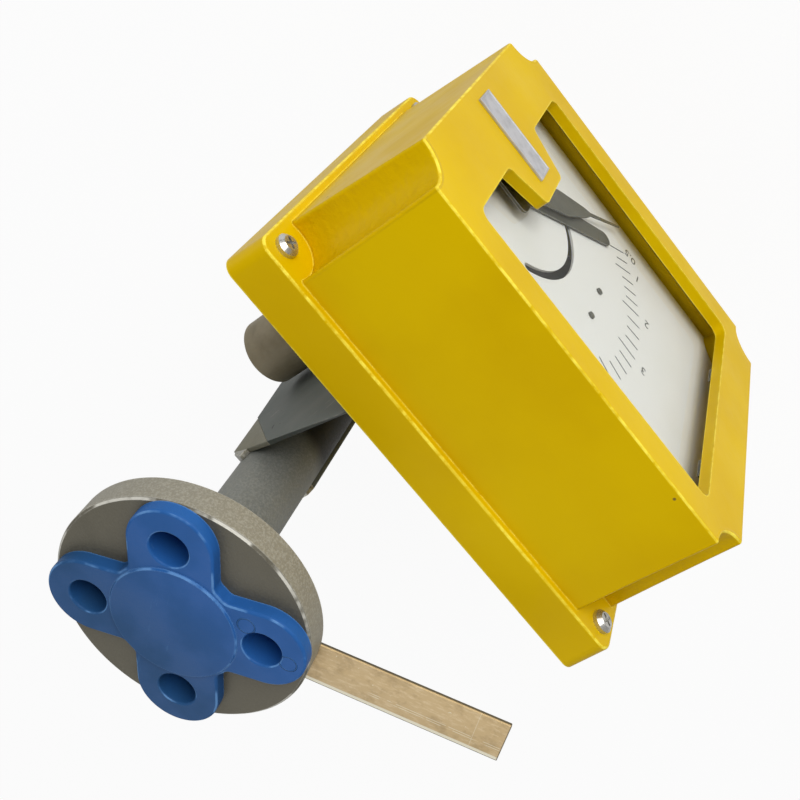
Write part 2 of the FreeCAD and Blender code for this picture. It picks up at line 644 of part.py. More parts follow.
def make_window_seal():
    """Flat seal between the glass and the front wall."""
    half_x, half_z = glass_half()
    seal = plate(half_x, half_z, GLASS_CORNER, FRONT_INNER_Y, GLASS_FRONT_Y, WINDOW_CENTRE_X, WINDOW_CENTRE_Z)
    inner = plate(half_x - WINDOW_SEAL_WIDTH, half_z - WINDOW_SEAL_WIDTH, GLASS_CORNER, FRONT_INNER_Y - PAST,
                  GLASS_FRONT_Y + PAST, WINDOW_CENTRE_X, WINDOW_CENTRE_Z)
    return seal.cut(inner)


def span_x(side, near, far):
    """Left and right end of a band on one side of the window's middle."""
    return sorted((WINDOW_CENTRE_X + side * near, WINDOW_CENTRE_X + side * far))


def make_glass_clips():
    """Four clips that hold the glass against the front wall from inside."""
    half_x, half_z = glass_half()
    lip_inner = half_x - CLIP_LIP
    foot_inner = half_x + CLIP_SIDE_GAP
    outer = foot_inner + CLIP_FOOT
    rear = GLASS_REAR_Y + CLIP_THICKNESS
    clips = []
    for sx in (-1, 1):
        for sz in (-1, 1):
            z = WINDOW_CENTRE_Z + sz * half_z / 2
            low, high = z - CLIP_WIDTH / 2, z + CLIP_WIDTH / 2
            lip = block(*span_x(sx, lip_inner, outer), GLASS_REAR_Y, rear, low, high)
            foot = block(*span_x(sx, foot_inner, outer), FRONT_INNER_Y, rear, low, high)
            clips.append(lip.fuse(foot).removeSplitter())
    return Part.makeCompound(clips)


def tray_half():
    """Half width and half height of the tray."""
    margin = LEDGE_MARGIN - SKIRT_WALL - TRAY_GAP
    return HALF_WIDTH + margin, HALF_HEIGHT + margin


def movement_posts():
    """Places of the posts that carry the movement plate."""
    return [(x, CENTRE_Z + sz * (MOVEMENT_HALF_HEIGHT - POST_INSET))
            for x in (MOVEMENT_LEFT + POST_INSET, MOVEMENT_RIGHT - POST_INSET) for sz in (-1, 1)]


def bracket_screw_points():
    """Axes of the screws between the bracket and the tray."""
    return [(sx * BRACKET_SCREW_X, CENTRE_Z + sz * BRACKET_SCREW_SPREAD) for sx in (-1, 1) for sz in (-1, 1)]


def can_screw_points():
    """Axes of the screws that hold the can's flange."""
    return [(PIVOT_X + CAN_SCREW_CIRCLE * math.cos(math.radians(360.0 / CAN_SCREW_COUNT * k)),
             CENTRE_Z + CAN_SCREW_CIRCLE * math.sin(math.radians(360.0 / CAN_SCREW_COUNT * k)))
            for k in range(CAN_SCREW_COUNT)]


def make_tray():
    """Back tray with a rim, corner bosses for the cover screws and bosses for the bracket."""
    half_x, half_z = tray_half()
    rim_front = SHOULDER_Y + SEAL_THICKNESS
    corner = SKIRT_CORNER - SKIRT_WALL
    tray = plate(half_x, half_z, corner, rim_front, HOUSING_REAR_Y)
    tray = tray.cut(plate(half_x - TRAY_RIM, half_z - TRAY_RIM, corner, rim_front - PAST, TRAY_FRONT_Y))
    outline = plate(half_x, half_z, corner, rim_front, HOUSING_REAR_Y)
    for x, z in corner_points():
        tray = tray.fuse(rod_y(TRAY_BOSS_RADIUS, rim_front, HOUSING_REAR_Y, x, z).common(outline))
    for x, z in bracket_screw_points():
        tray = tray.fuse(rod_y(BRACKET_BOSS_RADIUS, TRAY_FRONT_Y - BRACKET_BOSS_HEIGHT,
                               TRAY_FRONT_Y + PAST, x, z))
    for x, z in corner_points():
        tray = tray.cut(rod_y(COVER_SCREW_RADIUS, rim_front - PAST, SHOULDER_Y + COVER_SCREW_DEPTH, x, z))
    for x, z in bracket_screw_points():
        tray = tray.cut(rod_y(BRACKET_SCREW_RADIUS, TRAY_FRONT_Y - BRACKET_BOSS_HEIGHT + PAST,
                              HOUSING_REAR_Y + PAST, x, z))
    tray = tray.cut(rod_y(CAN_RADIUS + CAN_FIT, TRAY_FRONT_Y - PAST, HOUSING_REAR_Y + PAST,
                          PIVOT_X, CENTRE_Z))
    for x, z in can_screw_points():
        tray = tray.cut(rod_y(CAN_SCREW_RADIUS, TRAY_FRONT_Y - PAST, HOUSING_REAR_Y - BLIND_FLOOR, x, z))
    for x, z in movement_posts():
        tray = tray.cut(rod_y(POST_STUD_RADIUS, TRAY_FRONT_Y - PAST, HOUSING_REAR_Y - BLIND_FLOOR, x, z))
    return tray.removeSplitter()


def make_cover_seal():
    """Seal between the tray's rim and the shoulder inside the cover."""
    half_x, half_z = tray_half()
    corner = SKIRT_CORNER - SKIRT_WALL
    rear = SHOULDER_Y + SEAL_THICKNESS
    seal = plate(half_x, half_z, corner, SHOULDER_Y, rear)
    inner = plate(half_x - SEAL_WIDTH, half_z - SEAL_WIDTH, corner, SHOULDER_Y - PAST, rear + PAST)
    seal = seal.cut(inner)
    for x, z in corner_points():
        seal = seal.cut(rod_y(COVER_SCREW_RADIUS + SCREW_HOLE_CLEARANCE, SHOULDER_Y - PAST, rear + PAST,
                              x, z))
    return seal


def pan_screw(radius, head_radius, head_height, length, x, y, z):
    """Pan head screw seated at y, its shank running along +Y."""
    dome = head_height * SCREW_DOME_SHARE
    return turned([(0, -length), (radius, -length), (radius, 0), (head_radius, 0),
                   (head_radius, head_height - dome), (head_radius - dome, head_height), (0, head_height)],
                  point(x, y, z), -Y_AXIS)


def make_cover_screws():
    """Pan head screws with a cross recess, in the housing's notches."""
    length = LEDGE_FLOOR + COVER_SCREW_DEPTH - SCREW_TIP_GAP
    screws = []
    for x, z in corner_points():
        screw = pan_screw(COVER_SCREW_RADIUS, SCREW_HEAD_RADIUS, SCREW_HEAD_HEIGHT, length, x, LEDGE_Y, z)
        half, reach = SCREW_RECESS_WIDTH / 2, SCREW_RECESS_LENGTH / 2
        front = LEDGE_Y - SCREW_HEAD_HEIGHT
        cross = block(x - half, x + half, front - PAST, front + SCREW_RECESS_DEPTH, z - reach, z + reach)
        cross = cross.fuse(block(x - reach, x + reach, front - PAST, front + SCREW_RECESS_DEPTH,
                                 z - half, z + half))
        cross.rotate(point(x, 0, z), Y_AXIS, SCREW_CROSS_ANGLE)
        screws.append(screw.cut(cross))
    return Part.makeCompound(screws)


def make_dial():
    """Dial plate with the arm's curved slot, cut back round the cover's corner posts."""
    taper = SIDE_DRAFT / (LEDGE_Y - HOUSING_FRONT_Y)
    inset = COVER_WALL + DIAL_EDGE_GAP - taper * DIAL_DEPTH
    dial = plate(HALF_WIDTH - inset, HALF_HEIGHT - inset, DIAL_CORNER, DIAL_Y, DIAL_REAR_Y)
    front, rear = DIAL_Y - PAST, DIAL_REAR_Y + PAST
    for x, z in corner_points():
        dial = dial.cut(rod_y(NOTCH_RADIUS + COVER_WALL + DIAL_EDGE_GAP, front, rear, x, z))
    dial = dial.cut(make_slot(front, rear))
    dial = dial.cut(rod_y(SLEEVE_RADIUS + DIAL_EDGE_GAP, front, rear, PIVOT_X, CENTRE_Z))
    for x, z in dial_screw_points():
        dial = dial.cut(rod_y(DIAL_SCREW_RADIUS, front, rear, x, z))
    for x, z in bridge_posts():
        dial = dial.cut(rod_y(BRIDGE_POST_RADIUS + SCREW_HOLE_CLEARANCE, front, rear, x, z))
    return dial


def make_slot(y0, y1):
    """Curved slot about the pivot, open towards -X."""
    half = SLOT_WIDTH / 2
    ring = rod_y(SLOT_RADIUS + half, y0, y1, PIVOT_X, CENTRE_Z)
    ring = ring.cut(rod_y(SLOT_RADIUS - half, y0 - PAST, y1 + PAST, PIVOT_X, CENTRE_Z))
    angle = math.radians(SLOT_HALF_ANGLE)
    reach = SLOT_RADIUS * SLOT_WEDGE_SHARE
    left, rise = PIVOT_X - reach * math.cos(angle), reach * math.sin(angle)
    wedge = [(PIVOT_X, CENTRE_Z), (left, CENTRE_Z + rise), (left, CENTRE_Z - rise)]
    slot = ring.common(sheet_y(wedge, y0 - PAST, y1 + PAST))
    for side in (-1, 1):
        slot = slot.fuse(rod_y(half, y0, y1, PIVOT_X - SLOT_RADIUS * math.cos(angle),
                               CENTRE_Z + side * SLOT_RADIUS * math.sin(angle)))
    return slot


def dial_screw_points():
    """Axes of the two screws seen on the dial."""
    return [(DIAL_SCREW_X, CENTRE_Z + DIAL_SCREW_RISE + side * DIAL_SCREW_SPREAD) for side in (-1, 1)]


def bridge_posts():
    """Posts of the front bridge, beside the pivot and out of the pointer's sweep."""
    x = PIVOT_X + BRIDGE_FOOT - BRIDGE_POST_SIDE
    return [(x, CENTRE_Z + side * (BRIDGE_HALF_HEIGHT - BRIDGE_POST_END)) for side in (-1, 1)]


def make_dial_screws():
    """Two small screws through the dial and its spacers into the movement plate."""
    length = DIAL_THICKNESS + MOVEMENT_GAP + MOVEMENT_PLATE
    return Part.makeCompound([pan_screw(DIAL_SCREW_RADIUS, DIAL_SCREW_HEAD, DIAL_SCREW_HEAD_HEIGHT, length,
                                        x, DIAL_Y, z) for x, z in dial_screw_points()])


def make_dial_spacers():
    """Tubes between the dial and the movement plate."""
    tubes = []
    for x, z in dial_screw_points():
        tube = rod_y(SPACER_RADIUS, DIAL_REAR_Y, MOVEMENT_Y, x, z)
        tubes.append(tube.cut(rod_y(DIAL_SCREW_RADIUS, DIAL_REAR_Y - PAST, MOVEMENT_Y + PAST, x, z)))
    return Part.makeCompound(tubes)


def make_movement_plate():
    """Plate that carries the sleeve, the bridge and the dial, open under the slot."""
    centre_x = (MOVEMENT_LEFT + MOVEMENT_RIGHT) / 2
    shape = plate((MOVEMENT_RIGHT - MOVEMENT_LEFT) / 2, MOVEMENT_HALF_HEIGHT, MOVEMENT_CORNER,
                  MOVEMENT_Y, MOVEMENT_REAR_Y, centre_x)
    for x, z in dial_screw_points():
        shape = shape.cut(rod_y(DIAL_SCREW_RADIUS, MOVEMENT_Y - PAST, MOVEMENT_REAR_Y + PAST, x, z))
    for x, z in movement_posts():
        shape = shape.cut(rod_y(POST_STUD_RADIUS, MOVEMENT_Y - PAST, MOVEMENT_REAR_Y + PAST, x, z))
    shape = shape.cut(rod_y(SLEEVE_RADIUS, MOVEMENT_Y - PAST, MOVEMENT_REAR_Y + PAST, PIVOT_X, CENTRE_Z))
    return shape


def make_movement_posts():
    """Turned posts between the tray and the movement plate, with threaded ends."""
    posts = []
    for x, z in movement_posts():
        post = rod_y(POST_RADIUS, MOVEMENT_REAR_Y, TRAY_FRONT_Y, x, z)
        post = post.fuse(rod_y(POST_STUD_RADIUS, MOVEMENT_Y - POST_NUT_HEIGHT,
                               HOUSING_REAR_Y - BLIND_FLOOR, x, z))
        posts.append(post.removeSplitter())
    return Part.makeCompound(posts)


def make_post_nuts():
    """Hexagon nuts on the posts."""
    front = MOVEMENT_Y - POST_NUT_HEIGHT
    nuts = []
    for x, z in movement_posts():
        nut = hexagon_bar(POST_NUT_WIDTH, front, MOVEMENT_Y, x, z)
        nuts.append(nut.cut(rod_y(POST_STUD_RADIUS, front - PAST, MOVEMENT_Y + PAST, x, z)))
    return Part.makeCompound(nuts)


def make_sleeve():
    """Fixed sleeve round the shaft: the setting arm turns on it."""
    front = ARM_FRONT_Y - SLEEVE_PROUD
    bore = SHAFT_RADIUS + RUNNING_CLEARANCE
    length = MOVEMENT_REAR_Y - front
    return turned([(bore, 0), (SLEEVE_RADIUS, 0), (SLEEVE_RADIUS, length), (SLEEVE_FLANGE_RADIUS, length),
                   (SLEEVE_FLANGE_RADIUS, length + SLEEVE_FLANGE), (bore, length + SLEEVE_FLANGE)],
                  point(PIVOT_X, front, CENTRE_Z), Y_AXIS)


def make_bridge():
    """Front bridge over the pivot, on two posts from the movement plate."""
    left, right = PIVOT_X - BRIDGE_REACH, PIVOT_X + BRIDGE_FOOT
    bridge = plate((right - left) / 2, BRIDGE_HALF_HEIGHT, BRIDGE_CORNER, BRIDGE_FRONT_Y, BRIDGE_REAR_Y,
                   (left + right) / 2)
    for x, z in bridge_posts():
        bridge = bridge.fuse(rod_y(BRIDGE_POST_RADIUS, BRIDGE_FRONT_Y - BRIDGE_SCREW_HEAD, MOVEMENT_Y, x, z))
    bridge = bridge.cut(rod_y(SHAFT_RADIUS + RUNNING_CLEARANCE, BRIDGE_FRONT_Y - PAST, BRIDGE_REAR_Y + PAST,
                              PIVOT_X, CENTRE_Z))
    return bridge.removeSplitter()


def make_shaft():
    """Pointer shaft from the front bridge to the end of the can."""
    return rod_y(SHAFT_RADIUS, BRIDGE_FRONT_Y + SHAFT_FRONT_GAP, SHAFT_END_Y, PIVOT_X, CENTRE_Z)


def make_pointer():
    """Broad blade that steps down to a needle, with its tail and hub."""
    x = PIVOT_X
    z = CENTRE_Z
    half_blade, half_shoulder = POINTER_BLADE_WIDTH / 2, POINTER_SHOULDER_WIDTH / 2
    half_needle, half_tip = POINTER_NEEDLE_WIDTH / 2, POINTER_TIP_WIDTH / 2
    neck = POINTER_BLADE_END + POINTER_NECK
    side = [(-POINTER_TAIL, half_needle), (0, half_blade * POINTER_ROOT_SHARE),
            (POINTER_BLADE_END * POINTER_WIDEST_SHARE, half_blade),
            (POINTER_BLADE_END, half_shoulder), (neck, half_needle), (POINTER_LENGTH, half_tip)]
    outline = [(x + a, z + b) for a, b in side] + [(x + a, z - b) for a, b in reversed(side)]
    rear = POINTER_FRONT_Y + POINTER_THICKNESS
    pointer = sheet_y(outline, POINTER_FRONT_Y, rear)
    hub_rear = POINTER_FRONT_Y + POINTER_HUB_HEIGHT
    pointer = pointer.fuse(rod_y(POINTER_HUB_RADIUS, POINTER_FRONT_Y, hub_rear, x, z))
    pointer = pointer.cut(rod_y(SHAFT_RADIUS, POINTER_FRONT_Y - PAST, rear + PAST, x, z))
    return at_dial_angle(pointer.removeSplitter(), POINTER_REST_ANGLE)


def make_counterweight():
    """Round weight behind the pointer's tail."""
    rear = POINTER_FRONT_Y + POINTER_THICKNESS
    weight = rod_y(COUNTERWEIGHT_RADIUS, rear, rear + COUNTERWEIGHT_HEIGHT, PIVOT_X - POINTER_TAIL, CENTRE_Z)
    return at_dial_angle(weight, POINTER_REST_ANGLE)


def make_arm():
    """Setting arm with a round end, and a pin that runs in the dial's slot."""
    x = PIVOT_X
    z = CENTRE_Z
    half_root, half_end = ARM_ROOT_WIDTH / 2, ARM_END_WIDTH / 2
    rear = ARM_FRONT_Y + ARM_THICKNESS
    end = ARM_LENGTH - half_end
    arm = sheet_y([(x, z - half_root), (x + end, z - half_end), (x + end, z + half_end), (x, z + half_root)],
                  ARM_FRONT_Y, rear)
    arm = arm.fuse(rod_y(half_end, ARM_FRONT_Y, rear, x + end, z))
    arm = arm.fuse(rod_y(half_root, ARM_FRONT_Y, rear, x, z))
    arm = arm.fuse(rod_y(ARM_PIN_RADIUS, ARM_FRONT_Y, rear + ARM_PIN_DEPTH, x + SLOT_RADIUS, z))
    arm = arm.cut(rod_y(SLEEVE_RADIUS + RUNNING_CLEARANCE, ARM_FRONT_Y - PAST, rear + PAST, x, z))
    return at_dial_angle(arm.removeSplitter(), ARM_REST_ANGLE)


def make_arm_washer():
    """Spring washer under the setting arm's hub that gives it friction."""
    rear = DIAL_Y
    front = rear - ARM_FRICTION_WASHER
    washer = rod_y(ARM_ROOT_WIDTH / 2, front, rear, PIVOT_X, CENTRE_Z)
    return washer.cut(rod_y(SLEEVE_RADIUS, front - PAST, rear + PAST, PIVOT_X, CENTRE_Z))


def make_can():
    """Round can that holds the follower magnet, closed at the back."""
    length = CAN_END_Y - TRAY_FRONT_Y
    inner = CAN_RADIUS - CAN_WALL
    can = turned([(inner, -CAN_FLANGE), (CAN_FLANGE_RADIUS, -CAN_FLANGE), (CAN_FLANGE_RADIUS, 0),
                  (CAN_RADIUS, 0), (CAN_RADIUS, length - CAN_EDGE), (CAN_RADIUS - CAN_EDGE, length),
                  (0, length), (0, length - CAN_WALL), (inner, length - CAN_WALL)],
                 point(PIVOT_X, TRAY_FRONT_Y, CENTRE_Z), Y_AXIS)
    for x, z in can_screw_points():
        can = can.cut(rod_y(CAN_SCREW_RADIUS, TRAY_FRONT_Y - CAN_FLANGE - PAST, TRAY_FRONT_Y + PAST, x, z))
    return can


def make_can_screws():
    """Small screws through the can's flange into the tray."""
    seat = TRAY_FRONT_Y - CAN_FLANGE
    length = CAN_FLANGE + TRAY_PLATE - PAST
    return Part.makeCompound([pan_screw(CAN_SCREW_RADIUS, CAN_SCREW_HEAD, CAN_SCREW_HEAD_HEIGHT, length,
                                        x, seat, z) for x, z in can_screw_points()])


def make_rear_bush():
    """Bush at the bottom of the can for the shaft's end."""
    front = CAN_INNER_END_Y - REAR_BUSH_LENGTH
    bush = rod_y(REAR_BUSH_RADIUS, front, CAN_INNER_END_Y, PIVOT_X, CENTRE_Z)
    return bush.cut(rod_y(SHAFT_RADIUS + RUNNING_CLEARANCE, front - PAST, CAN_INNER_END_Y + PAST,
                          PIVOT_X, CENTRE_Z))


def make_follower():
    """Bar magnet on the shaft, level with the float's magnet at mid travel."""
    front = FOLLOWER_REAR_Y - FOLLOWER_DEPTH
    half_x, half_z = FOLLOWER_LENGTH / 2, FOLLOWER_WIDTH / 2
    magnet = block(PIVOT_X - half_x, PIVOT_X + half_x, front, FOLLOWER_REAR_Y,
                   CENTRE_Z - half_z, CENTRE_Z + half_z)
    magnet = magnet.cut(rod_y(SHAFT_RADIUS, front - PAST, FOLLOWER_REAR_Y + PAST, PIVOT_X, CENTRE_Z))
    return at_dial_angle(magnet, POINTER_REST_ANGLE)


def make_holder():
    """Collar that clamps the follower magnet to the shaft."""
    front = FOLLOWER_REAR_Y - FOLLOWER_DEPTH - HOLDER_LENGTH
    collar = rod_y(HOLDER_RADIUS, front, front + HOLDER_LENGTH, PIVOT_X, CENTRE_Z)
    return collar.cut(rod_y(SHAFT_RADIUS, front - PAST, front + HOLDER_LENGTH + PAST, PIVOT_X, CENTRE_Z))


def bracket_web_y():
    return HOUSING_REAR_Y + BRACKET_SHEET


def bracket_top():
    return CENTRE_Z + HALF_HEIGHT + LEDGE_MARGIN


def upper_edge(y):
    """Height of the bracket's slanted upper edge at a depth."""
    return min(bracket_top(), CENTRE_Z + BRACKET_EDGE_RISE - BRACKET_SLOPE * y)


def bracket_sheet(outline, side):
    """Piece of the bracket's sheet in the plane that touches one side of the tube."""
    x0, x1 = sorted((side * TUBE_RADIUS, side * (TUBE_RADIUS + BRACKET_SHEET)))
    return sheet_x(outline, x0, x1)


def make_lugs():
    """Two plates welded to the sides of the tube: one wide, one a narrow finger."""
    seam_top = (SEAM_TOP_Y, upper_edge(SEAM_TOP_Y))
    seam_end = (SEAM_END_Y, CENTRE_Z + SEAM_END_RISE)
    step = tuple(a + (b - a) * LUG_STEP_SHARE for a, b in zip(seam_end, seam_top))
    wide = bracket_sheet([seam_top, (LUG_SHOULDER_Y, upper_edge(LUG_SHOULDER_Y)),
                          (LUG_TIP_Y, CENTRE_Z + LUG_TIP_RISE), step], 1)
    foot = CENTRE_Z - BRACKET_HEEL_DROP
    finger = bracket_sheet([(FINGER_FRONT_Y, CENTRE_Z + FINGER_RISE), (FINGER_REAR_Y, CENTRE_Z + FINGER_RISE),
                            (FINGER_REAR_Y, foot), (FINGER_SEAM_Y, foot),
                            (FINGER_SEAM_Y, CENTRE_Z - NARROW_WALL_DROP),
                            (FINGER_FRONT_Y, CENTRE_Z - FINGER_SHOULDER_DROP)], -1)
    return Part.makeCompound([wide, finger])


def make_bracket():
    """Folded sheet: a web on the tray, a wide wall and a low one, both ending on the tube."""
    outer = TUBE_RADIUS + BRACKET_SHEET
    top = bracket_top()
    bottom = 2 * CENTRE_Z - top
    web = block(-outer, outer, HOUSING_REAR_Y, bracket_web_y(), bottom, top)
    bend_y = (CENTRE_Z + BRACKET_EDGE_RISE - top) / BRACKET_SLOPE
    heel = CENTRE_Z - BRACKET_HEEL_DROP
    wide = bracket_sheet([(HOUSING_REAR_Y, top), (bend_y, top), (SEAM_TOP_Y, upper_edge(SEAM_TOP_Y)),
                          (SEAM_END_Y, CENTRE_Z + SEAM_END_RISE), (BRACKET_HEEL_Y, heel),
                          (bend_y, bottom), (HOUSING_REAR_Y, bottom)], 1)
    narrow_top = CENTRE_Z - NARROW_WALL_DROP
    narrow = bracket_sheet([(HOUSING_REAR_Y, narrow_top), (FINGER_SEAM_Y, narrow_top), (FINGER_SEAM_Y, heel),
                            (bend_y, bottom), (HOUSING_REAR_Y, bottom)], -1)
    bracket = web.fuse(wide).fuse(narrow)
    for x, z in bracket_screw_points():
        bracket = bracket.cut(rod_y(BRACKET_SCREW_RADIUS + SCREW_HOLE_CLEARANCE, HOUSING_REAR_Y - PAST,
                                    bracket_web_y() + PAST, x, z))
    return bracket.removeSplitter()


def make_bracket_screws():
    """Hexagon screws through the web into the tray's bosses."""
    seat = bracket_web_y()
    tip = TRAY_FRONT_Y - BRACKET_BOSS_HEIGHT + BRACKET_SCREW_TIP_GAP
    screws = []
    for x, z in bracket_screw_points():
        head = hexagon_bar(BRACKET_SCREW_HEAD_WIDTH, seat, seat + BRACKET_SCREW_HEAD_HEIGHT, x, z)
        screws.append(head.fuse(rod_y(BRACKET_SCREW_RADIUS, tip, seat, x, z)).removeSplitter())
    return Part.makeCompound(screws)


def make_tack_welds():
    """Welds between the round tube and the flat plates: a bead on each tip, a short one low down."""
    tube = rod_z(TUBE_RADIUS, 0, FACE_TO_FACE)
    shoulder = (LUG_SHOULDER_Y, upper_edge(LUG_SHOULDER_Y))
    tip_slope = (CENTRE_Z + LUG_TIP_RISE - shoulder[1]) / (LUG_TIP_Y - LUG_SHOULDER_Y)
    far_z = shoulder[1] + tip_slope * (TIP_BEAD_FAR_Y - LUG_SHOULDER_Y)
    near_z = upper_edge(TIP_BEAD_NEAR_Y)
    tip = [(TIP_BEAD_NEAR_Y, near_z), shoulder, (TIP_BEAD_FAR_Y, far_z),
           (TIP_BEAD_FAR_Y - TIP_BEAD_INSET, far_z + TIP_BEAD_HEIGHT),
           (TIP_BEAD_NEAR_Y + TIP_BEAD_INSET, near_z + TIP_BEAD_HEIGHT)]
    top = CENTRE_Z + FINGER_RISE
    end = [(FINGER_FRONT_Y, top), (TACK_FAR_Y, top), (TACK_FAR_Y - TIP_BEAD_INSET, top + TIP_BEAD_HEIGHT),
           (FINGER_FRONT_Y + TIP_BEAD_INSET, top + TIP_BEAD_HEIGHT)]
    outer = TUBE_RADIUS + BRACKET_SHEET
    beads = [sheet_x(tip, TUBE_BORE_RADIUS - TUBE_WALL, outer).cut(tube),
             sheet_x(end, -outer, TUBE_WALL - TUBE_BORE_RADIUS).cut(tube)]
    low = CENTRE_Z - TACK_DROP - TACK_LENGTH / 2
    for side in (-1, 1):
        inner, outer = sorted((side * TUBE_BORE_RADIUS, side * TUBE_RADIUS))
        bead = block(inner, outer, TACK_NEAR_Y, TACK_FAR_Y, low, low + TACK_LENGTH)
        beads.append(bead.cut(tube))
    return Part.makeCompound(beads)


def build():
    """Make every node of the meter."""
    NODES["bottom_flange"] = make_flange()
    NODES["top_flange"] = mirrored_up(make_flange())
    NODES["metering_tube"] = make_tube()
    NODES["flange_welds"] = Part.makeCompound([make_weld(), mirrored_up(make_weld())])
    NODES["flange_cap"] = make_flange_cap()
    NODES["tag_strip"] = make_strip()
    NODES["float_body"] = make_float()
    NODES["float_magnet"] = make_float_magnet()
    NODES["float_plug"] = make_float_plug()
    NODES["lower_guide"] = make_guide(lower_guide_low())
    NODES["upper_guide"] = make_guide(upper_guide_low())
    NODES["tapered_liner"] = make_liner()
    NODES["tube_lugs"] = make_lugs()
    NODES["tack_welds"] = make_tack_welds()
    NODES["mounting_bracket"] = make_bracket()
    NODES["bracket_screws"] = make_bracket_screws()
    NODES["back_tray"] = make_tray()
    NODES["housing_cover"] = make_cover()
    NODES["cover_seal"] = make_cover_seal()
    NODES["cover_screws"] = make_cover_screws()
    NODES["nameplate"] = make_nameplate()
    NODES["window_glass"] = make_glass()
    NODES["window_seal"] = make_window_seal()
    NODES["glass_clips"] = make_glass_clips()
    NODES["dial_plate"] = make_dial()
    NODES["dial_screws"] = make_dial_screws()
    NODES["dial_spacers"] = make_dial_spacers()
    NODES["movement_plate"] = make_movement_plate()
    NODES["movement_posts"] = make_movement_posts()
    NODES["post_nuts"] = make_post_nuts()
    NODES["pivot_sleeve"] = make_sleeve()
    NODES["front_bridge"] = make_bridge()
    NODES["pointer_shaft"] = make_shaft()
    NODES["pointer"] = make_pointer()
    NODES["counterweight"] = make_counterweight()
    NODES["setting_arm"] = make_arm()
    NODES["arm_washer"] = make_arm_washer()
    NODES["magnet_can"] = make_can()
    NODES["can_screws"] = make_can_screws()
    NODES["rear_bush"] = make_rear_bush()
    NODES["follower_magnet"] = make_follower()
    NODES["magnet_holder"] = make_holder()


def write():
    """Write one file per node."""
    os.makedirs("parts", exist_ok=True)
    for name, shape in NODES.items():
        box = shape.BoundBox
        print("%-18s solids %d valid %s volume %.0f box %.1f %.1f %.1f / %.1f %.1f %.1f" % (
            name, len(shape.Solids), shape.isValid(), shape.Volume,
            box.XMin, box.YMin, box.ZMin, box.XMax, box.YMax, box.ZMax))
        shape.exportStep("parts/%s.step" % name)


build()
write()
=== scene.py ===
import logging
import math
from dataclasses import dataclass
from enum import Enum
from typing import Any, Callable, ClassVar, Optional, Union

import bmesh
import bpy
import numpy as np
from mathutils import Matrix, Vector


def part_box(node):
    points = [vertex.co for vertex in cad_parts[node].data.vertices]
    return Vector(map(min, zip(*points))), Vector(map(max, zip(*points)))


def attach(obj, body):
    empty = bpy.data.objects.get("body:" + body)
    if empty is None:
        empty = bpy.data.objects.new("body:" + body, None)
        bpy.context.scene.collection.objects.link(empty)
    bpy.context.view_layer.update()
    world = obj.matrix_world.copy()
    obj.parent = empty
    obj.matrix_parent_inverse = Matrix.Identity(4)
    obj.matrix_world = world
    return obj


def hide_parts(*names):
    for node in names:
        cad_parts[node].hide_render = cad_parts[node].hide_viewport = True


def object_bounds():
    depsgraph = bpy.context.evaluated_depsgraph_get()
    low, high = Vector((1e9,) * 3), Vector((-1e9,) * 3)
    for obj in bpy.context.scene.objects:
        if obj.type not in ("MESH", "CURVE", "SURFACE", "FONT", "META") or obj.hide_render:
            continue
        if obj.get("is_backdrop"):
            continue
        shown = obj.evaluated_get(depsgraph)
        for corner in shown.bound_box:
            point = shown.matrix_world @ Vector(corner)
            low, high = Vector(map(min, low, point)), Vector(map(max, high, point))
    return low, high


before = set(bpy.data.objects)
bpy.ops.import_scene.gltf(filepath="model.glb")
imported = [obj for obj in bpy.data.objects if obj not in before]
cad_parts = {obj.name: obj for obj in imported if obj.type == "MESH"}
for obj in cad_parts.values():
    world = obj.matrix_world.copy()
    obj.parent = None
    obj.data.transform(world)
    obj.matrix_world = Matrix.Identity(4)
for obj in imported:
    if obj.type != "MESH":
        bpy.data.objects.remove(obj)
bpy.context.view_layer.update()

LOG = logging.getLogger("flow_meter")
MM = 0.001
COVER_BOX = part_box("housing_cover")
DIAL_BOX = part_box("dial_plate")
STRIP_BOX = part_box("tag_strip")
BRACKET_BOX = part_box("mounting_bracket")
COVER_MIDDLE = (COVER_BOX[0] + COVER_BOX[1]) / 2
Triple = tuple[float, float, float]
Colour = Triple
Number = Union[float, "Signal"]


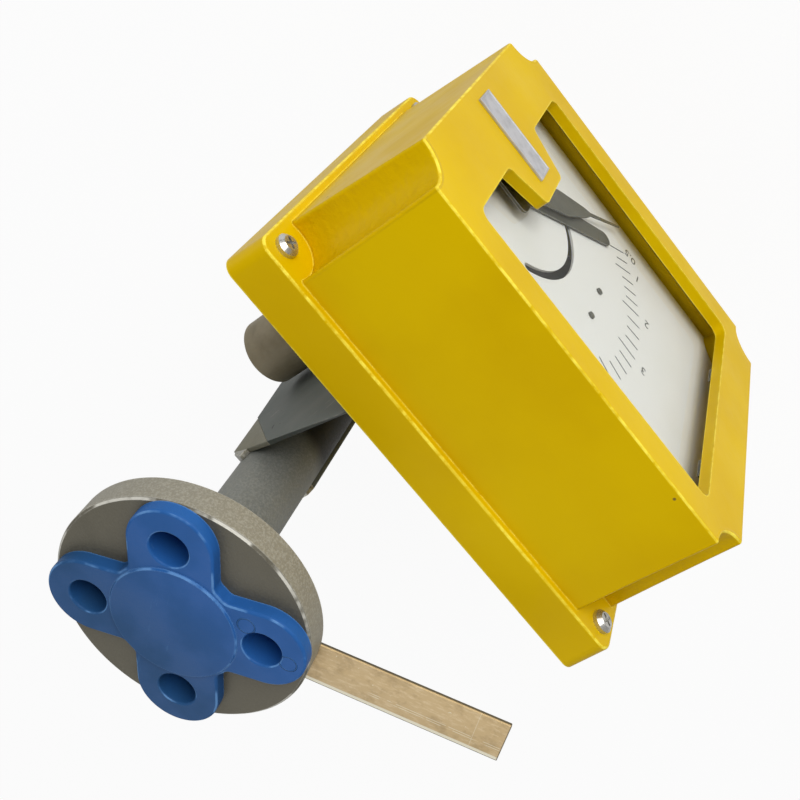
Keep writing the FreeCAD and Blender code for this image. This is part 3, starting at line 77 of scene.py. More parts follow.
class Signal:
    """A socket of a shader tree that takes part in ordinary arithmetic."""

    def __init__(self, graph: "Graph", socket: bpy.types.NodeSocket) -> None:
        """Wrap a socket.

        Args:
            graph: The graph that the socket belongs to.
            socket: An output socket of one of its nodes.
        """
        self.graph = graph
        self.socket = socket

    def _maths(self, operation: str, first: Number, second: Number = 0.0) -> "Signal":
        """Join two values with one Math node.

        Args:
            operation: Blender's name of the operation.
            first: Left operand.
            second: Right operand.

        Returns:
            The node's result.
        """
        return self.graph.node("ShaderNodeMath", {"operation": operation}, {0: first, 1: second})

    def __add__(self, other: Number) -> "Signal":
        """Sum."""
        return self._maths("ADD", self, other)

    def __sub__(self, other: Number) -> "Signal":
        """Difference."""
        return self._maths("SUBTRACT", self, other)

    def __rsub__(self, other: Number) -> "Signal":
        """Difference with a number on the left."""
        return self._maths("SUBTRACT", other, self)

    def __mul__(self, other: Number) -> "Signal":
        """Product."""
        return self._maths("MULTIPLY", self, other)

    def __truediv__(self, other: Number) -> "Signal":
        """Quotient."""
        return self._maths("DIVIDE", self, other)

    def __pow__(self, other: Number) -> "Signal":
        """Power."""
        return self._maths("POWER", self, other)

    def __abs__(self) -> "Signal":
        """Size without sign."""
        return self._maths("ABSOLUTE", self)

    def lowest(self, other: Number) -> "Signal":
        """The lower of two values."""
        return self._maths("MINIMUM", self, other)

    def highest(self, other: Number) -> "Signal":
        """The higher of two values."""
        return self._maths("MAXIMUM", self, other)

    def ramp(self, low: float, high: float, start: float = 0.0, end: float = 1.0) -> "Signal":
        """Carry a range smoothly to another one.

        Args:
            low: Value that gives start.
            high: Value that gives end.
            start: Result at and below low.
            end: Result at and above high.

        Returns:
            The smooth step between start and end.
        """
        settings = {"interpolation_type": "SMOOTHSTEP", "clamp": True}
        inputs = {"Value": self, "From Min": low, "From Max": high, "To Min": start, "To Max": end}
        return self.graph.node("ShaderNodeMapRange", settings, inputs)


class Graph:
    """Node tree of one material, built by expressions."""

    def __init__(self, name: str) -> None:
        """Start an empty material.

        Args:
            name: Name of the material.
        """
        self.material = bpy.data.materials.new(name)
        self.material.use_nodes = True
        self.tree = self.material.node_tree
        self.tree.nodes.clear()
        self.output = self.tree.nodes.new("ShaderNodeOutputMaterial")
        self._place: Optional[Signal] = None

    def node(self, kind: str, settings: dict[str, Any], inputs: dict[Any, Any], output: Any = 0) -> Signal:
        """Add a node.

        Args:
            kind: Blender's type of the node.
            settings: Attributes set before the inputs.
            inputs: Values or signals by socket name or number. A colour has three parts.
            output: Name or number of the output that is returned.

        Returns:
            The output as a signal.
        """
        made = self.tree.nodes.new(kind)
        for key, value in settings.items():
            setattr(made, key, value)
        for key, value in inputs.items():
            socket = made.inputs[key]
            if isinstance(value, Signal):
                self.tree.links.new(value.socket, socket)
            elif isinstance(value, tuple) and socket.type == "RGBA" and len(value) == 3:
                socket.default_value = (*value, 1.0)
            else:
                socket.default_value = value
        return Signal(self, made.outputs[output])

    def place(self) -> Signal:
        """Object coordinates in metres, from one node for the whole graph.

        Returns:
            The coordinates.
        """
        if self._place is None:
            self._place = self.node("ShaderNodeTexCoord", {}, {}, "Object")
        return self._place

    def axis(self, name: str) -> Signal:
        """One coordinate of the place, by its letter."""
        return self.node("ShaderNodeSeparateXYZ", {}, {0: self.place()}, name)

    def drawn(self, lengths: Triple, turn: Triple) -> Signal:
        """Place in turned axes, for a pattern drawn out along them.

        Args:
            lengths: How far the pattern is drawn out along each turned axis.
            turn: Angles of the axes in radians.

        Returns:
            The mapped coordinates.
        """
        return self.node("ShaderNodeMapping", {"vector_type": "TEXTURE"},
                         {"Vector": self.place(), "Rotation": turn, "Scale": lengths})

    def distance(self, first: Signal, second: Signal) -> Signal:
        """Length of a flat vector from its two parts."""
        return (first * first + second * second) ** 0.5

    def noise(self, size: float, detail: float = 3.0, rough: float = 0.5,
              where: Optional[Signal] = None) -> Signal:
        """Cloudy noise between about 0.2 and 0.8.

        Args:
            size: Size of its largest patches in metres.
            detail: Number of finer layers.
            rough: Share of the finer layers.
            where: Coordinates, or None for the place itself.

        Returns:
            The noise's value.
        """
        inputs = {"Vector": where or self.place(), "Scale": 1.0 / size, "Detail": detail, "Roughness": rough}
        return self.node("ShaderNodeTexNoise", {}, inputs, "Fac")

    def cells(self, size: float) -> Signal:
        """Distance to the nearest of scattered points, in cells of a size in metres."""
        inputs = {"Vector": self.place(), "Scale": 1.0 / size}
        return self.node("ShaderNodeTexVoronoi", {}, inputs, "Distance")

    def mix(self, share: Number, first: Any, second: Any) -> Signal:
        """Blend two colours.

        Args:
            share: Part of the second colour.
            first: Colour or signal at share 0.
            second: Colour or signal at share 1.

        Returns:
            The blended colour.
        """
        settings = {"data_type": "RGBA", "clamp_factor": True}
        return self.node("ShaderNodeMix", settings, {0: share, 6: first, 7: second}, 2)

    def normal(self) -> Signal:
        """The surface's own direction."""
        return self.node("ShaderNodeNewGeometry", {}, {}, "Normal")

    def cosine(self, first: Any, second: Any) -> Signal:
        """Cosine of the angle between two directions, each a signal or three numbers."""
        settings = {"operation": "DOT_PRODUCT"}
        return self.node("ShaderNodeVectorMath", settings, {0: first, 1: second}, "Value")

    def bump(self, height: Signal, depth: float, strength: float, under: Optional[Signal] = None) -> Signal:
        """Normal of a surface that a height moves.

        Args:
            height: Height from 0 to 1.
            depth: Metres that a height of 1 stands for.
            strength: Share of the effect.
            under: Normal of a coarser bump below.

        Returns:
            The normal.
        """
        inputs: dict[str, Any] = {"Height": height, "Distance": depth, "Strength": strength}
        if under is not None:
            inputs["Normal"] = under
        return self.node("ShaderNodeBump", {}, inputs)

    def edge_wear(self, radius: float) -> Signal:
        """How sharply the surface turns near a point, from 0 on flats to 1 at edges.

        Args:
            radius: Reach of the test in metres.

        Returns:
            The share of edge.
        """
        rounded = self.node("ShaderNodeBevel", {"samples": 6}, {"Radius": radius})
        return self.cosine(rounded, self.normal()).ramp(0.80, 0.995, 1.0, 0.0)

    def fillet(self, axis: Triple, low: float, high: float) -> Signal:
        """Share that is 1 on the fillets round faces of one direction, by the angle of the normal.

        Args:
            axis: Direction of the faces.
            low: Cosine below which a wall begins.
            high: Cosine above which the face begins.

        Returns:
            The share of fillet.
        """
        turned = abs(self.cosine(self.normal(), axis))
        return turned.ramp(low, low + 0.15) * turned.ramp(high - 0.08, high, 1.0, 0.0)

    def facing(self, axis: Triple) -> Signal:
        """Share that is 1 where the surface faces one direction and 0 where it is turned away."""
        return self.cosine(self.normal(), axis).ramp(0.5, 0.8)

    def finish(self, **inputs: Any) -> bpy.types.Material:
        """Close the tree with a Principled shader.

        Args:
            inputs: Its sockets by name, with spaces written as underscores.

        Returns:
            The finished material.
        """
        named = {key.replace("_", " "): value for key, value in inputs.items()}
        return self.close(self.node("ShaderNodeBsdfPrincipled", {}, named, "BSDF"))

    def close(self, shader: Signal) -> bpy.types.Material:
        """Lead a shader to the material's surface and return the material."""
        self.tree.links.new(shader.socket, self.output.inputs["Surface"])
        return self.material


SHEET_GREY: Colour = (0.130, 0.146, 0.134)
# Near-black painted shade for the gap between the tube, the housing and the bracket's narrow wall.
GAP_SHADE: Colour = (0.012, 0.013, 0.013)
TOWARD_TUBE: Triple = (1.0, 0.0, 0.0)


class Finish:
    """A surface finish that makes its material once."""

    name: str = "finish"
    made: ClassVar[dict[str, bpy.types.Material]] = {}

    def build(self, graph: Graph) -> bpy.types.Material:
        """Fill the graph; each finish has its own."""
        raise NotImplementedError

    def material(self) -> bpy.types.Material:
        """Build the material on first use.

        Returns:
            The material.
        """
        if self.name not in Finish.made:
            Finish.made[self.name] = self.build(Graph(self.name))
        return Finish.made[self.name]


@dataclass(frozen=True)
class StovedPaint(Finish):
    """Thick yellow paint on a casting: orange peel, pale edges of worn paint and painted highlight, lumps in
    the corner notches.
    """

    name: str = "stoved_paint"
    colour: Colour = (0.755, 0.505, 0.0)
    deep: Colour = (0.69, 0.44, 0.0)
    # Pale edge tone: partly worn paint, partly painted highlight.
    worn_and_highlit_edge: Colour = (0.99, 0.83, 0.09)
    gleam: Colour = (1.0, 0.80, 0.15)
    speck: Colour = (0.22, 0.15, 0.03)
    roughness: float = 0.36
    cloud_size: float = 60 * MM
    wave_size: float = 16 * MM
    wave_depth: float = 0.5 * MM
    peel_size: float = 2.1 * MM
    peel_depth: float = 0.1 * MM
    lump_size: float = 3.4 * MM
    lump_depth: float = 1.1 * MM
    gloss_size: float = 20 * MM
    stroke_size: float = 3.2 * MM
    stroke_gap: float = 11 * MM
    speck_spacing: float = 16 * MM
    speck_patch: float = 40 * MM
    worn_reach: float = 1.1 * MM
    notch_x: float = 81.4 * MM
    notch_z: float = 69.5 * MM
    notch_reach: float = 12.4 * MM
    ledge_y: float = -84.0 * MM

    def in_notch(self, graph: Graph) -> Signal:
        """Find the corner notches by the distance to the nearest screw axis.

        Args:
            graph: Graph of this finish.

        Returns:
            Share that is 1 in the notches.
        """
        across = abs(graph.axis("X") - COVER_MIDDLE.x) - self.notch_x
        up = abs(graph.axis("Z") - COVER_MIDDLE.z) - self.notch_z
        near = graph.distance(across, up).ramp(self.notch_reach, self.notch_reach + 1.0 * MM, 1.0, 0.0)
        return near * graph.axis("Y").ramp(self.ledge_y - 0.5 * MM, self.ledge_y + 0.5 * MM, 1.0, 0.0)

    def build(self, graph: Graph) -> bpy.types.Material:
        """Mottle the colour, pale the edges in short strokes as worn paint and painted highlight, and raise
        an orange peel.

        Args:
            graph: Empty graph of this finish.

        Returns:
            The material.
        """
        cloud = graph.noise(self.cloud_size, 4.0)
        notch = self.in_notch(graph)
        colour = graph.mix(cloud.ramp(0.35, 0.7).highest(notch * 0.8), self.colour, self.deep)
        edge = graph.edge_wear(self.worn_reach)
        strokes = graph.noise(self.stroke_size, 3.0, 0.65)
        fillet = graph.fillet((0.0, 1.0, 0.0), 0.30, 0.98)
        broken = graph.noise(self.stroke_gap, 3.0, 0.65).ramp(0.42, 0.60, 0.45, 1.0)
        # Pale edges: partly worn paint, partly painted highlight along the fillets round the front faces.
        colour = graph.mix(edge.highest(fillet * broken) * strokes.ramp(0.25, 0.60), colour, self.worn_and_highlit_edge)
        patches = graph.noise(self.speck_patch).ramp(0.54, 0.60)
        specks = graph.cells(self.speck_spacing).ramp(0.030, 0.045, 1.0, 0.0) * patches
        colour = graph.mix(specks, colour, self.speck)
        lumps = graph.noise(self.lump_size, 3.0, 0.6) * (notch * 0.6 + fillet * 0.5)
        normal = graph.bump(graph.noise(self.wave_size, 2.0), self.wave_depth, 0.35)
        normal = graph.bump(graph.noise(self.peel_size, 2.0, 0.4), self.peel_depth, 0.5, normal)
        normal = graph.bump(lumps, self.lump_depth, 0.6, normal)
        rough = graph.noise(self.gloss_size).ramp(0.3, 0.75, self.roughness - 0.05, self.roughness + 0.08)
        return graph.finish(Base_Color=colour, Roughness=rough - edge * 0.1, Normal=normal,
                            Specular_IOR_Level=0.16, Specular_Tint=self.gleam)


@dataclass(frozen=True)
class BlastedSteel(Finish):
    """Dull blasted steel with fine speckle, stains and worn edges."""

    name: str = "blasted_steel"
    colour: Colour = (0.132, 0.121, 0.088)
    light: Colour = (0.162, 0.150, 0.113)
    dark: Colour = (0.095, 0.087, 0.062)
    worn: Colour = (0.78, 0.76, 0.68)
    roughness: float = 0.50
    metallic: float = 0.20
    grain: float = 0.8 * MM
    grain_depth: float = 0.16 * MM
    wear: float = 0.6
    worn_reach: float = 0.8 * MM
    worn_patch: float = 8 * MM
    stain: float = 0.35
    stain_size: float = 20 * MM

    def tones(self, graph: Graph, fine: Signal) -> Signal:
        """Speckle two tones and stain them.

        Args:
            graph: Graph of this finish.
            fine: Fine grain of the blasting.

        Returns:
            The colour of the flats.
        """
        colour = graph.mix(fine.ramp(0.34, 0.72), self.colour, self.light)
        stains = graph.noise(self.stain_size, 4.0, 0.6).ramp(0.5, 0.75)
        return graph.mix(stains * self.stain, colour, self.dark)

    def build(self, graph: Graph) -> bpy.types.Material:
        """Speckle two tones, stain them and brighten the worn edges.

        Args:
            graph: Empty graph of this finish.

        Returns:
            The material.
        """
        fine = graph.noise(self.grain, 2.0, 0.7)
        colour = self.tones(graph, fine)
        edge = graph.edge_wear(self.worn_reach)
        bright = edge * graph.noise(self.worn_patch, 3.0, 0.6).ramp(0.35, 0.6) * self.wear
        colour = graph.mix(bright, colour, self.worn)
        normal = graph.bump(fine, self.grain_depth, 0.6)
        rough = fine.ramp(0.3, 0.7, self.roughness - 0.08, self.roughness + 0.1) - bright * 0.2
        return graph.finish(Base_Color=colour, Roughness=rough, Metallic=self.metallic, Normal=normal,
                            Specular_IOR_Level=0.2)


@dataclass(frozen=True)
class TubeSteel(BlastedSteel):
    """Tube with painted shade beside the bracket's narrow wall and all round further down."""

    name: str = "blasted_tube"
    colour: Colour = (0.20, 0.208, 0.192)
    light: Colour = (0.275, 0.28, 0.255)
    dark: Colour = (0.15, 0.163, 0.155)
    wear: float = 0.3
    painted_shade: Colour = GAP_SHADE
    painted_shade_low: float = 157.0 * MM
    painted_shade_high: float = 169.0 * MM
    painted_shade_slant: float = 1.2
    painted_shade_x: tuple[float, float] = (-11.0 * MM, 3.0 * MM)

    def tones(self, graph: Graph, fine: Signal) -> Signal:
        """Darken the speckled tube with painted shade that fades upwards and, at its top, away from the
        wall.

        Args:
            graph: Graph of this finish.
            fine: Fine grain of the blasting.

        Returns:
            The colour of the flats.
        """
        # Painted shade: near-black where the housing and the bracket's narrow wall shade the tube.
        below = graph.axis("Z").ramp(self.painted_shade_low, self.painted_shade_high, 1.0, 0.0)
        spread = (graph.axis("Z") - self.painted_shade_high) * self.painted_shade_slant
        near = (graph.axis("X") + spread).ramp(*self.painted_shade_x, 1.0, 0.0)
        return graph.mix(below * near * 0.9, super().tones(graph, fine), self.painted_shade)


@dataclass(frozen=True)
class LugSteel(BlastedSteel):
    """Bare wide plate, and a finger painted like the bracket with painted shade on the tube's side."""

    name: str = "blasted_lug"
    colour: Colour = (0.215, 0.206, 0.150)
    light: Colour = (0.25, 0.24, 0.18)
    dark: Colour = (0.15, 0.142, 0.105)
    wear: float = 0.25
    grain: float = 1.8 * MM
    painted: Colour = SHEET_GREY
    painted_shade: Colour = GAP_SHADE

    def tones(self, graph: Graph, fine: Signal) -> Signal:
        """Bare tones on the wide plate, paint and painted shade on the finger.

        Args:
            graph: Graph of this finish.
            fine: Fine grain of the blasting.

        Returns:
            The colour of the flats.
        """
        finger = graph.axis("X").ramp(-1.0 * MM, 1.0 * MM, 1.0, 0.0)
        colour = graph.mix(finger, super().tones(graph, fine), self.painted)
        # Painted shade on the finger's face toward the tube, which lies in the gap's shadow.
        return graph.mix(finger * graph.facing(TOWARD_TUBE) * 0.9, colour, self.painted_shade)


@dataclass(frozen=True)
class FlangeSteel(BlastedSteel):
    """Flange whose turned rim is paler than its faces, with a bright worn chamfer."""

    name: str = "blasted_flange"
    rim: Colour = (0.285, 0.268, 0.215)
    rim_light: Colour = (0.375, 0.36, 0.30)
    radius: float = 44.45 * MM
    chamfer: float = 0.8 * MM
    rub_size: float = 12 * MM

    def tones(self, graph: Graph, fine: Signal) -> Signal:
        """Paler rim by the distance from the flange's axis, brightest on the chamfer.

        Args:
            graph: Graph of this finish.
            fine: Fine grain of the blasting.

        Returns:
            The colour of the flats.
        """
        face = super().tones(graph, fine)
        reach = graph.distance(graph.axis("X"), graph.axis("Y"))
        rim = graph.mix(fine.ramp(0.4, 0.66), self.rim, self.rim_light)
        colour = graph.mix(reach.ramp(self.radius - 0.25 * MM, self.radius - 0.05 * MM), face, rim)
        inner = reach.ramp(self.radius - self.chamfer - 0.15 * MM, self.radius - self.chamfer + 0.05 * MM)
        outer = reach.ramp(self.radius - 0.3 * MM, self.radius - 0.1 * MM, 1.0, 0.0)
        rubbed = graph.noise(self.rub_size, 3.0, 0.6).ramp(0.38, 0.56)
        return graph.mix(inner * outer * rubbed * 0.85, colour, self.worn)


@dataclass(frozen=True)
class MouldedPlastic(Finish):
    """Soft blue moulded plastic: faint flow marks, scuffs, two round ejector marks, painted shade towards
    the rear and painted highlights on its edges.
    """

    name: str = "moulded_plastic"
    colour: Colour = (0.020, 0.120, 0.40)
    deep: Colour = (0.018, 0.078, 0.20)
    # Pale blue of the painted highlights.
    pale: Colour = (0.16, 0.36, 0.70)
    scuff: Colour = (0.12, 0.26, 0.48)
    roughness: float = 0.46
    cloud_size: float = 16 * MM
    scuff_size: float = 3 * MM
    scuff_length: float = 6.0
    scuff_turn: float = 0.6
    shine_size: float = 9 * MM
    flow_size: float = 3.5 * MM
    flow_depth: float = 0.22 * MM
    worn_reach: float = 1.0 * MM
    shaded_y: tuple[float, float] = (-30 * MM, 22 * MM)
    marks: tuple[tuple[float, float], ...] = ((-11.8 * MM, -23.7 * MM), (-29.2 * MM, -25.8 * MM))
    mark_radius: float = 2.9 * MM
    mark_width: float = 0.35 * MM
    mark_depth: float = 0.5 * MM

    def ring(self, graph: Graph, centre: tuple[float, float]) -> Signal:
        """A thin ring on the face, 1 on its line."""
        reach = graph.distance(graph.axis("X") - centre[0], graph.axis("Y") - centre[1])
        return abs(reach - self.mark_radius).ramp(0.0, self.mark_width, 1.0, 0.0)

    def build(self, graph: Graph) -> bpy.types.Material:
        """Paint shade that deepens the colour towards the rear, paint highlights on the edges and raise the
        round marks.

        Args:
            graph: Empty graph of this finish.

        Returns:
            The material.
        """
        rings = self.ring(graph, self.marks[0]).highest(self.ring(graph, self.marks[1]))
        cloud = graph.noise(self.cloud_size)
        # Painted shade: the blue deepens towards the rear.
        shade_toward_rear = graph.axis("Y").ramp(*self.shaded_y)
        colour = graph.mix(shade_toward_rear * 0.75 + cloud.ramp(0.4, 0.7) * 0.2, self.colour, self.deep)
        edge = graph.edge_wear(self.worn_reach)
        drawn = graph.drawn((1.0, self.scuff_length, 1.0), (0.0, 0.0, self.scuff_turn))
        scuffs = graph.noise(self.scuff_size, 4.0, 0.7, drawn).ramp(0.64, 0.72)
        # Painted highlight on the edges and on the fillets round the top faces.
        shine = graph.fillet((0.0, 0.0, 1.0), 0.45, 0.99) * graph.noise(self.shine_size).ramp(0.45, 0.62)
        colour = graph.mix((edge * 0.5).highest(shine * 0.7), colour, self.pale)
        colour = graph.mix((scuffs * 0.2).highest(rings * 0.35), colour, self.scuff)
        normal = graph.bump(graph.noise(self.flow_size), self.flow_depth, 0.5)
        normal = graph.bump(rings, self.mark_depth, 0.9, normal)
        rough = cloud.ramp(0.3, 0.7, self.roughness - 0.05, self.roughness + 0.1) + scuffs * 0.15
        return graph.finish(Base_Color=colour, Roughness=rough, Normal=normal, Specular_IOR_Level=0.16)


@dataclass(frozen=True)
class SheetPaint(Finish):
    """Flat grey paint on folded sheet, scratched in places."""

    name: str = "sheet_paint"
    colour: Colour = SHEET_GREY
    light: Colour = (0.155, 0.168, 0.153)
    scratch: Colour = (0.27, 0.26, 0.22)
    dent: Colour = (0.045, 0.047, 0.043)
    painted_shade: Colour = GAP_SHADE
    roughness: float = 0.52
    cloud_size: float = 18 * MM
    grain: float = 1.1 * MM
    grain_depth: float = 0.06 * MM
    scratch_size: float = 1.6 * MM
    scratch_length: float = 9.0
    scratch_turn: float = 0.75
    nick_size: float = 3.4 * MM
    nick_length: float = 3.0
    nick_turn: float = 0.4
    worn_reach: float = 0.7 * MM
    worn_patch: float = 4 * MM
    narrow_wall: tuple[float, float] = (-13.0 * MM, -12.0 * MM)

    def build(self, graph: Graph) -> bpy.types.Material:
        """Mottle two greys, draw thin scratches and dark nicks, and paint shade on the narrow wall's inside.

        Args:
            graph: Empty graph of this finish.

        Returns:
            The material.
        """
        cloud = graph.noise(self.cloud_size, 4.0)
        colour = graph.mix(cloud.ramp(0.35, 0.7), self.colour, self.light)
        drawn = graph.drawn((1.0, self.scratch_length, 1.0), (self.scratch_turn, 0.0, 0.0))
        lines = graph.noise(self.scratch_size, 3.0, 0.6, drawn).ramp(0.66, 0.71)
        edge = graph.edge_wear(self.worn_reach)
        mark = lines.highest(edge * graph.noise(self.worn_patch).ramp(0.45, 0.6))
        colour = graph.mix(mark * 0.55, colour, self.scratch)
        drawn = graph.drawn((1.0, 1.0, self.nick_length), (self.nick_turn, 0.0, 0.0))
        nicks = graph.noise(self.nick_size, 2.0, 0.5, drawn).ramp(0.735, 0.75)
        colour = graph.mix(nicks * 0.8, colour, self.dent)
        # Painted shade on the narrow wall's face toward the tube.
        inside = graph.axis("X").ramp(*self.narrow_wall, 1.0, 0.0) * graph.facing(TOWARD_TUBE)
        colour = graph.mix(inside * 0.9, colour, self.painted_shade)
        normal = graph.bump(graph.noise(self.grain), self.grain_depth, 0.6)
        return graph.finish(Base_Color=colour, Roughness=self.roughness - mark * 0.12, Normal=normal,
                            Specular_IOR_Level=0.25)


@dataclass(frozen=True)
class RolledStrip(Finish):
    """Bare strip: blotches, flecks, scratches, a faint line near its end, a painted highlight along its
    lower rim and painted shade on its outline and side walls.
    """

    name: str = "rolled_strip"
    colour: Colour = (0.68, 0.50, 0.262)
    light: Colour = (0.86, 0.68, 0.42)
    dark: Colour = (0.49, 0.35, 0.18)
    # Dark tone of the painted shade on the outline and side walls.
    edge_shade: Colour = (0.13, 0.11, 0.075)
    # Pale tone of the flecks, scratches and scribed line, and of the painted highlight on the lower rim.
    bright: Colour = (1.0, 0.94, 0.74)
    roughness: float = 0.42
    grain: float = 1.1 * MM
    grain_length: float = 3.0
    grain_depth: float = 0.05 * MM
    cloud_size: float = 7 * MM
    fleck_size: float = 2.6 * MM
    break_size: float = 4 * MM
    turn: float = math.radians(215.7)
    end: float = 109.0 * MM
    scribed_at: float = 99.0 * MM
    scribed_width: float = 0.2 * MM
    scratch_across: tuple[float, float] = (-13.4 * MM, -14.4 * MM)
    scratch_start: tuple[float, float] = (62 * MM, 66 * MM)
    scratch_width: tuple[float, float] = (0.05 * MM, 0.16 * MM)
    lower_edge: float = -19.5 * MM
    edge_shade_top: float = STRIP_BOX[1].z - 0.55 * MM

    def build(self, graph: Graph) -> bpy.types.Material:
        """Blotch and fleck the tone, then draw the scratches, the line, the painted highlight on the rim and
        the painted shade on the outline and side walls.

        Args:
            graph: Empty graph of this finish.

        Returns:
            The material.
        """
        drawn = graph.drawn((self.grain_length, 1.0, 1.0), (0.0, 0.0, self.turn))
        grain = graph.noise(self.grain, 3.0, 0.7, drawn)
        cloud = graph.noise(self.cloud_size, 4.0, 0.65)
        colour = graph.mix(grain.ramp(0.45, 0.75) * 0.7, self.colour, self.light)
        colour = graph.mix(cloud.ramp(0.48, 0.70) * 0.7, colour, self.dark)
        along = graph.axis("X") * math.cos(self.turn) + graph.axis("Y") * math.sin(self.turn)
        across = graph.axis("Y") * math.cos(self.turn) - graph.axis("X") * math.sin(self.turn)
        scribed = abs(along - self.scribed_at).ramp(0.0, self.scribed_width, 1.0, 0.0)
        broken = graph.noise(self.break_size, 2.0).ramp(0.42, 0.52)
        lines = abs(across - self.scratch_across[0]).lowest(abs(across - self.scratch_across[1]))
        scratches = lines.ramp(*self.scratch_width, 1.0, 0.0) * broken * along.ramp(*self.scratch_start)
        flecks = graph.noise(self.fleck_size, 3.0, 0.7).ramp(0.70, 0.74)
        # Painted highlight along the lower rim.
        rim = across.ramp(self.lower_edge + 1.4 * MM, self.lower_edge + 2.0 * MM, 1.0, 0.0)
        scratches_and_highlight = (scribed * 0.35).highest(flecks * 0.7).highest(scratches * 0.8).highest(rim)
        colour = graph.mix(scratches_and_highlight, colour, self.bright)
        # Painted shade: a dark line along the lower edge and the end, and dark side walls below the top
        # face.
        flat = graph.fillet((0.0, 0.0, 1.0), 0.75, 1.2)
        outline = across.ramp(self.lower_edge + 0.3 * MM, self.lower_edge + 0.5 * MM, 1.0, 0.0)
        outline = outline.highest(along.ramp(self.end - 0.45 * MM, self.end - 0.25 * MM) * 0.8)
        colour = graph.mix(outline, colour, self.edge_shade)
        low = graph.axis("Z").ramp(self.edge_shade_top - 0.15 * MM, self.edge_shade_top + 0.15 * MM, 1.0, 0.0)
        colour = graph.mix((1.0 - flat) * low, colour, self.edge_shade)
        rough = cloud.ramp(0.3, 0.7, self.roughness - 0.06, self.roughness + 0.12)
        return graph.finish(Base_Color=colour, Roughness=rough, Metallic=0.08, Specular_IOR_Level=0.25,
                            Normal=graph.bump(grain, self.grain_depth, 0.5))


@dataclass(frozen=True)
class PlainMetal(Finish):
    """Machined or plated metal of one tone with a fine grain and, where asked, a painted highlight on its
    edges.
    """

    name: str = "plain_metal"
    colour: Colour = (0.55, 0.55, 0.53)
    roughness: float = 0.28
    metallic: float = 1.0
    grain: float = 0.6 * MM
    grain_depth: float = 0.01 * MM
    cloud_size: float = 6 * MM
    edge: float = 0.0
    edge_highlight: Colour = (0.85, 0.84, 0.80)
    worn_reach: float = 0.4 * MM

    def build(self, graph: Graph) -> bpy.types.Material:
        """Vary tone and gloss a little.

        Args:
            graph: Empty graph of this finish.

        Returns:
            The material.
        """
        fine = graph.noise(self.grain, 3.0, 0.6)
        dark = tuple(0.7 * part for part in self.colour)
        colour = graph.mix(graph.noise(self.cloud_size).ramp(0.4, 0.75), self.colour, dark)
        # Painted highlight on the edges.
        if self.edge > 0.0:
            colour = graph.mix(graph.edge_wear(self.worn_reach) * self.edge, colour, self.edge_highlight)
        rough = fine.ramp(0.3, 0.7, self.roughness - 0.06, self.roughness + 0.1)
        return graph.finish(Base_Color=colour, Roughness=rough, Metallic=self.metallic,
                            Normal=graph.bump(fine, self.grain_depth, 0.4))


@dataclass(frozen=True)
class Enamel(Finish):
    """Smooth pale enamel of the dial, with painted shade towards its edges."""

    name: str = "dial_enamel"
    colour: Colour = (0.840, 0.815, 0.780)
    # Tone of the painted shade along the border.
    shade: Colour = (0.66, 0.65, 0.55)
    dust: Colour = (0.3, 0.3, 0.28)
    half: tuple[float, float] = (77.5 * MM, 67.0 * MM)
    cloud_size: float = 50 * MM
    dust_spacing: float = 7 * MM
    gloss_size: float = 10 * MM
    grain: float = 1.2 * MM
    grain_depth: float = 0.02 * MM

    def build(self, graph: Graph) -> bpy.types.Material:
        """Cloud the white slightly, paint shade in yellowish grey on its border and dust it.

        Args:
            graph: Empty graph of this finish.

        Returns:
            The material.
        """
        across = abs(graph.axis("X") - COVER_MIDDLE.x) / self.half[0]
        up = abs(graph.axis("Z") - COVER_MIDDLE.z) / self.half[1]
        # Painted shade along the border, where the window frame shades the dial.
        border = across.highest(up).ramp(0.80, 1.0)
        cloud = graph.noise(self.cloud_size).ramp(0.45, 0.75)
        colour = graph.mix(border * 0.6 + cloud * 0.2, self.colour, self.shade)
        dust = graph.cells(self.dust_spacing).ramp(0.02, 0.035, 1.0, 0.0)
        colour = graph.mix(dust * 0.2, colour, self.dust)
        rough = graph.noise(self.gloss_size).ramp(0.3, 0.7, 0.36, 0.46)
        normal = graph.bump(graph.noise(self.grain, 2.0), self.grain_depth, 0.4)
        return graph.finish(Base_Color=colour, Roughness=rough, Normal=normal, Specular_IOR_Level=0.3)


@dataclass(frozen=True)
class PrintedInk(Finish):
    """Dark ink of the dial's marks."""

    name: str = "dial_ink"
    colour: Colour = (0.040, 0.043, 0.040)
    faded: Colour = (0.10, 0.105, 0.10)
    patch_size: float = 1.2 * MM
    patch_depth: float = 0.01 * MM

    def build(self, graph: Graph) -> bpy.types.Material:
        """Thin the ink in patches.

        Args:
            graph: Empty graph of this finish.

        Returns:
            The material.
        """
        thin = graph.noise(self.patch_size, 2.0)
        colour = graph.mix(thin.ramp(0.5, 0.8), self.colour, self.faded)
        return graph.finish(Base_Color=colour, Roughness=thin.ramp(0.3, 0.7, 0.45, 0.6),
                            Normal=graph.bump(thin, self.patch_depth, 0.3))


@dataclass(frozen=True)
class ClearGlass(Finish):
    """Thin clear glass."""

    name: str = "clear_glass"
    tint: Colour = (0.97, 0.98, 0.975)
    gleam: Colour = (1.0, 1.0, 1.0)
    roughness: float = 0.02
    index: float = 1.45
    veil: float = 0.09

    def build(self, graph: Graph) -> bpy.types.Material:
        """Mix clear passage with a weak gloss that grows at grazing sight.

        Args:
            graph: Empty graph of this finish.

        Returns:
            The material.
        """
        gloss = graph.node("ShaderNodeBsdfGlossy", {}, {"Roughness": self.roughness, "Color": self.gleam})
        clear = graph.node("ShaderNodeBsdfTransparent", {}, {"Color": self.tint})
        share = graph.node("ShaderNodeFresnel", {}, {"IOR": self.index})
        mixed = graph.node("ShaderNodeMixShader", {}, {0: share * self.veil, 1: clear, 2: gloss})
        return graph.close(mixed)


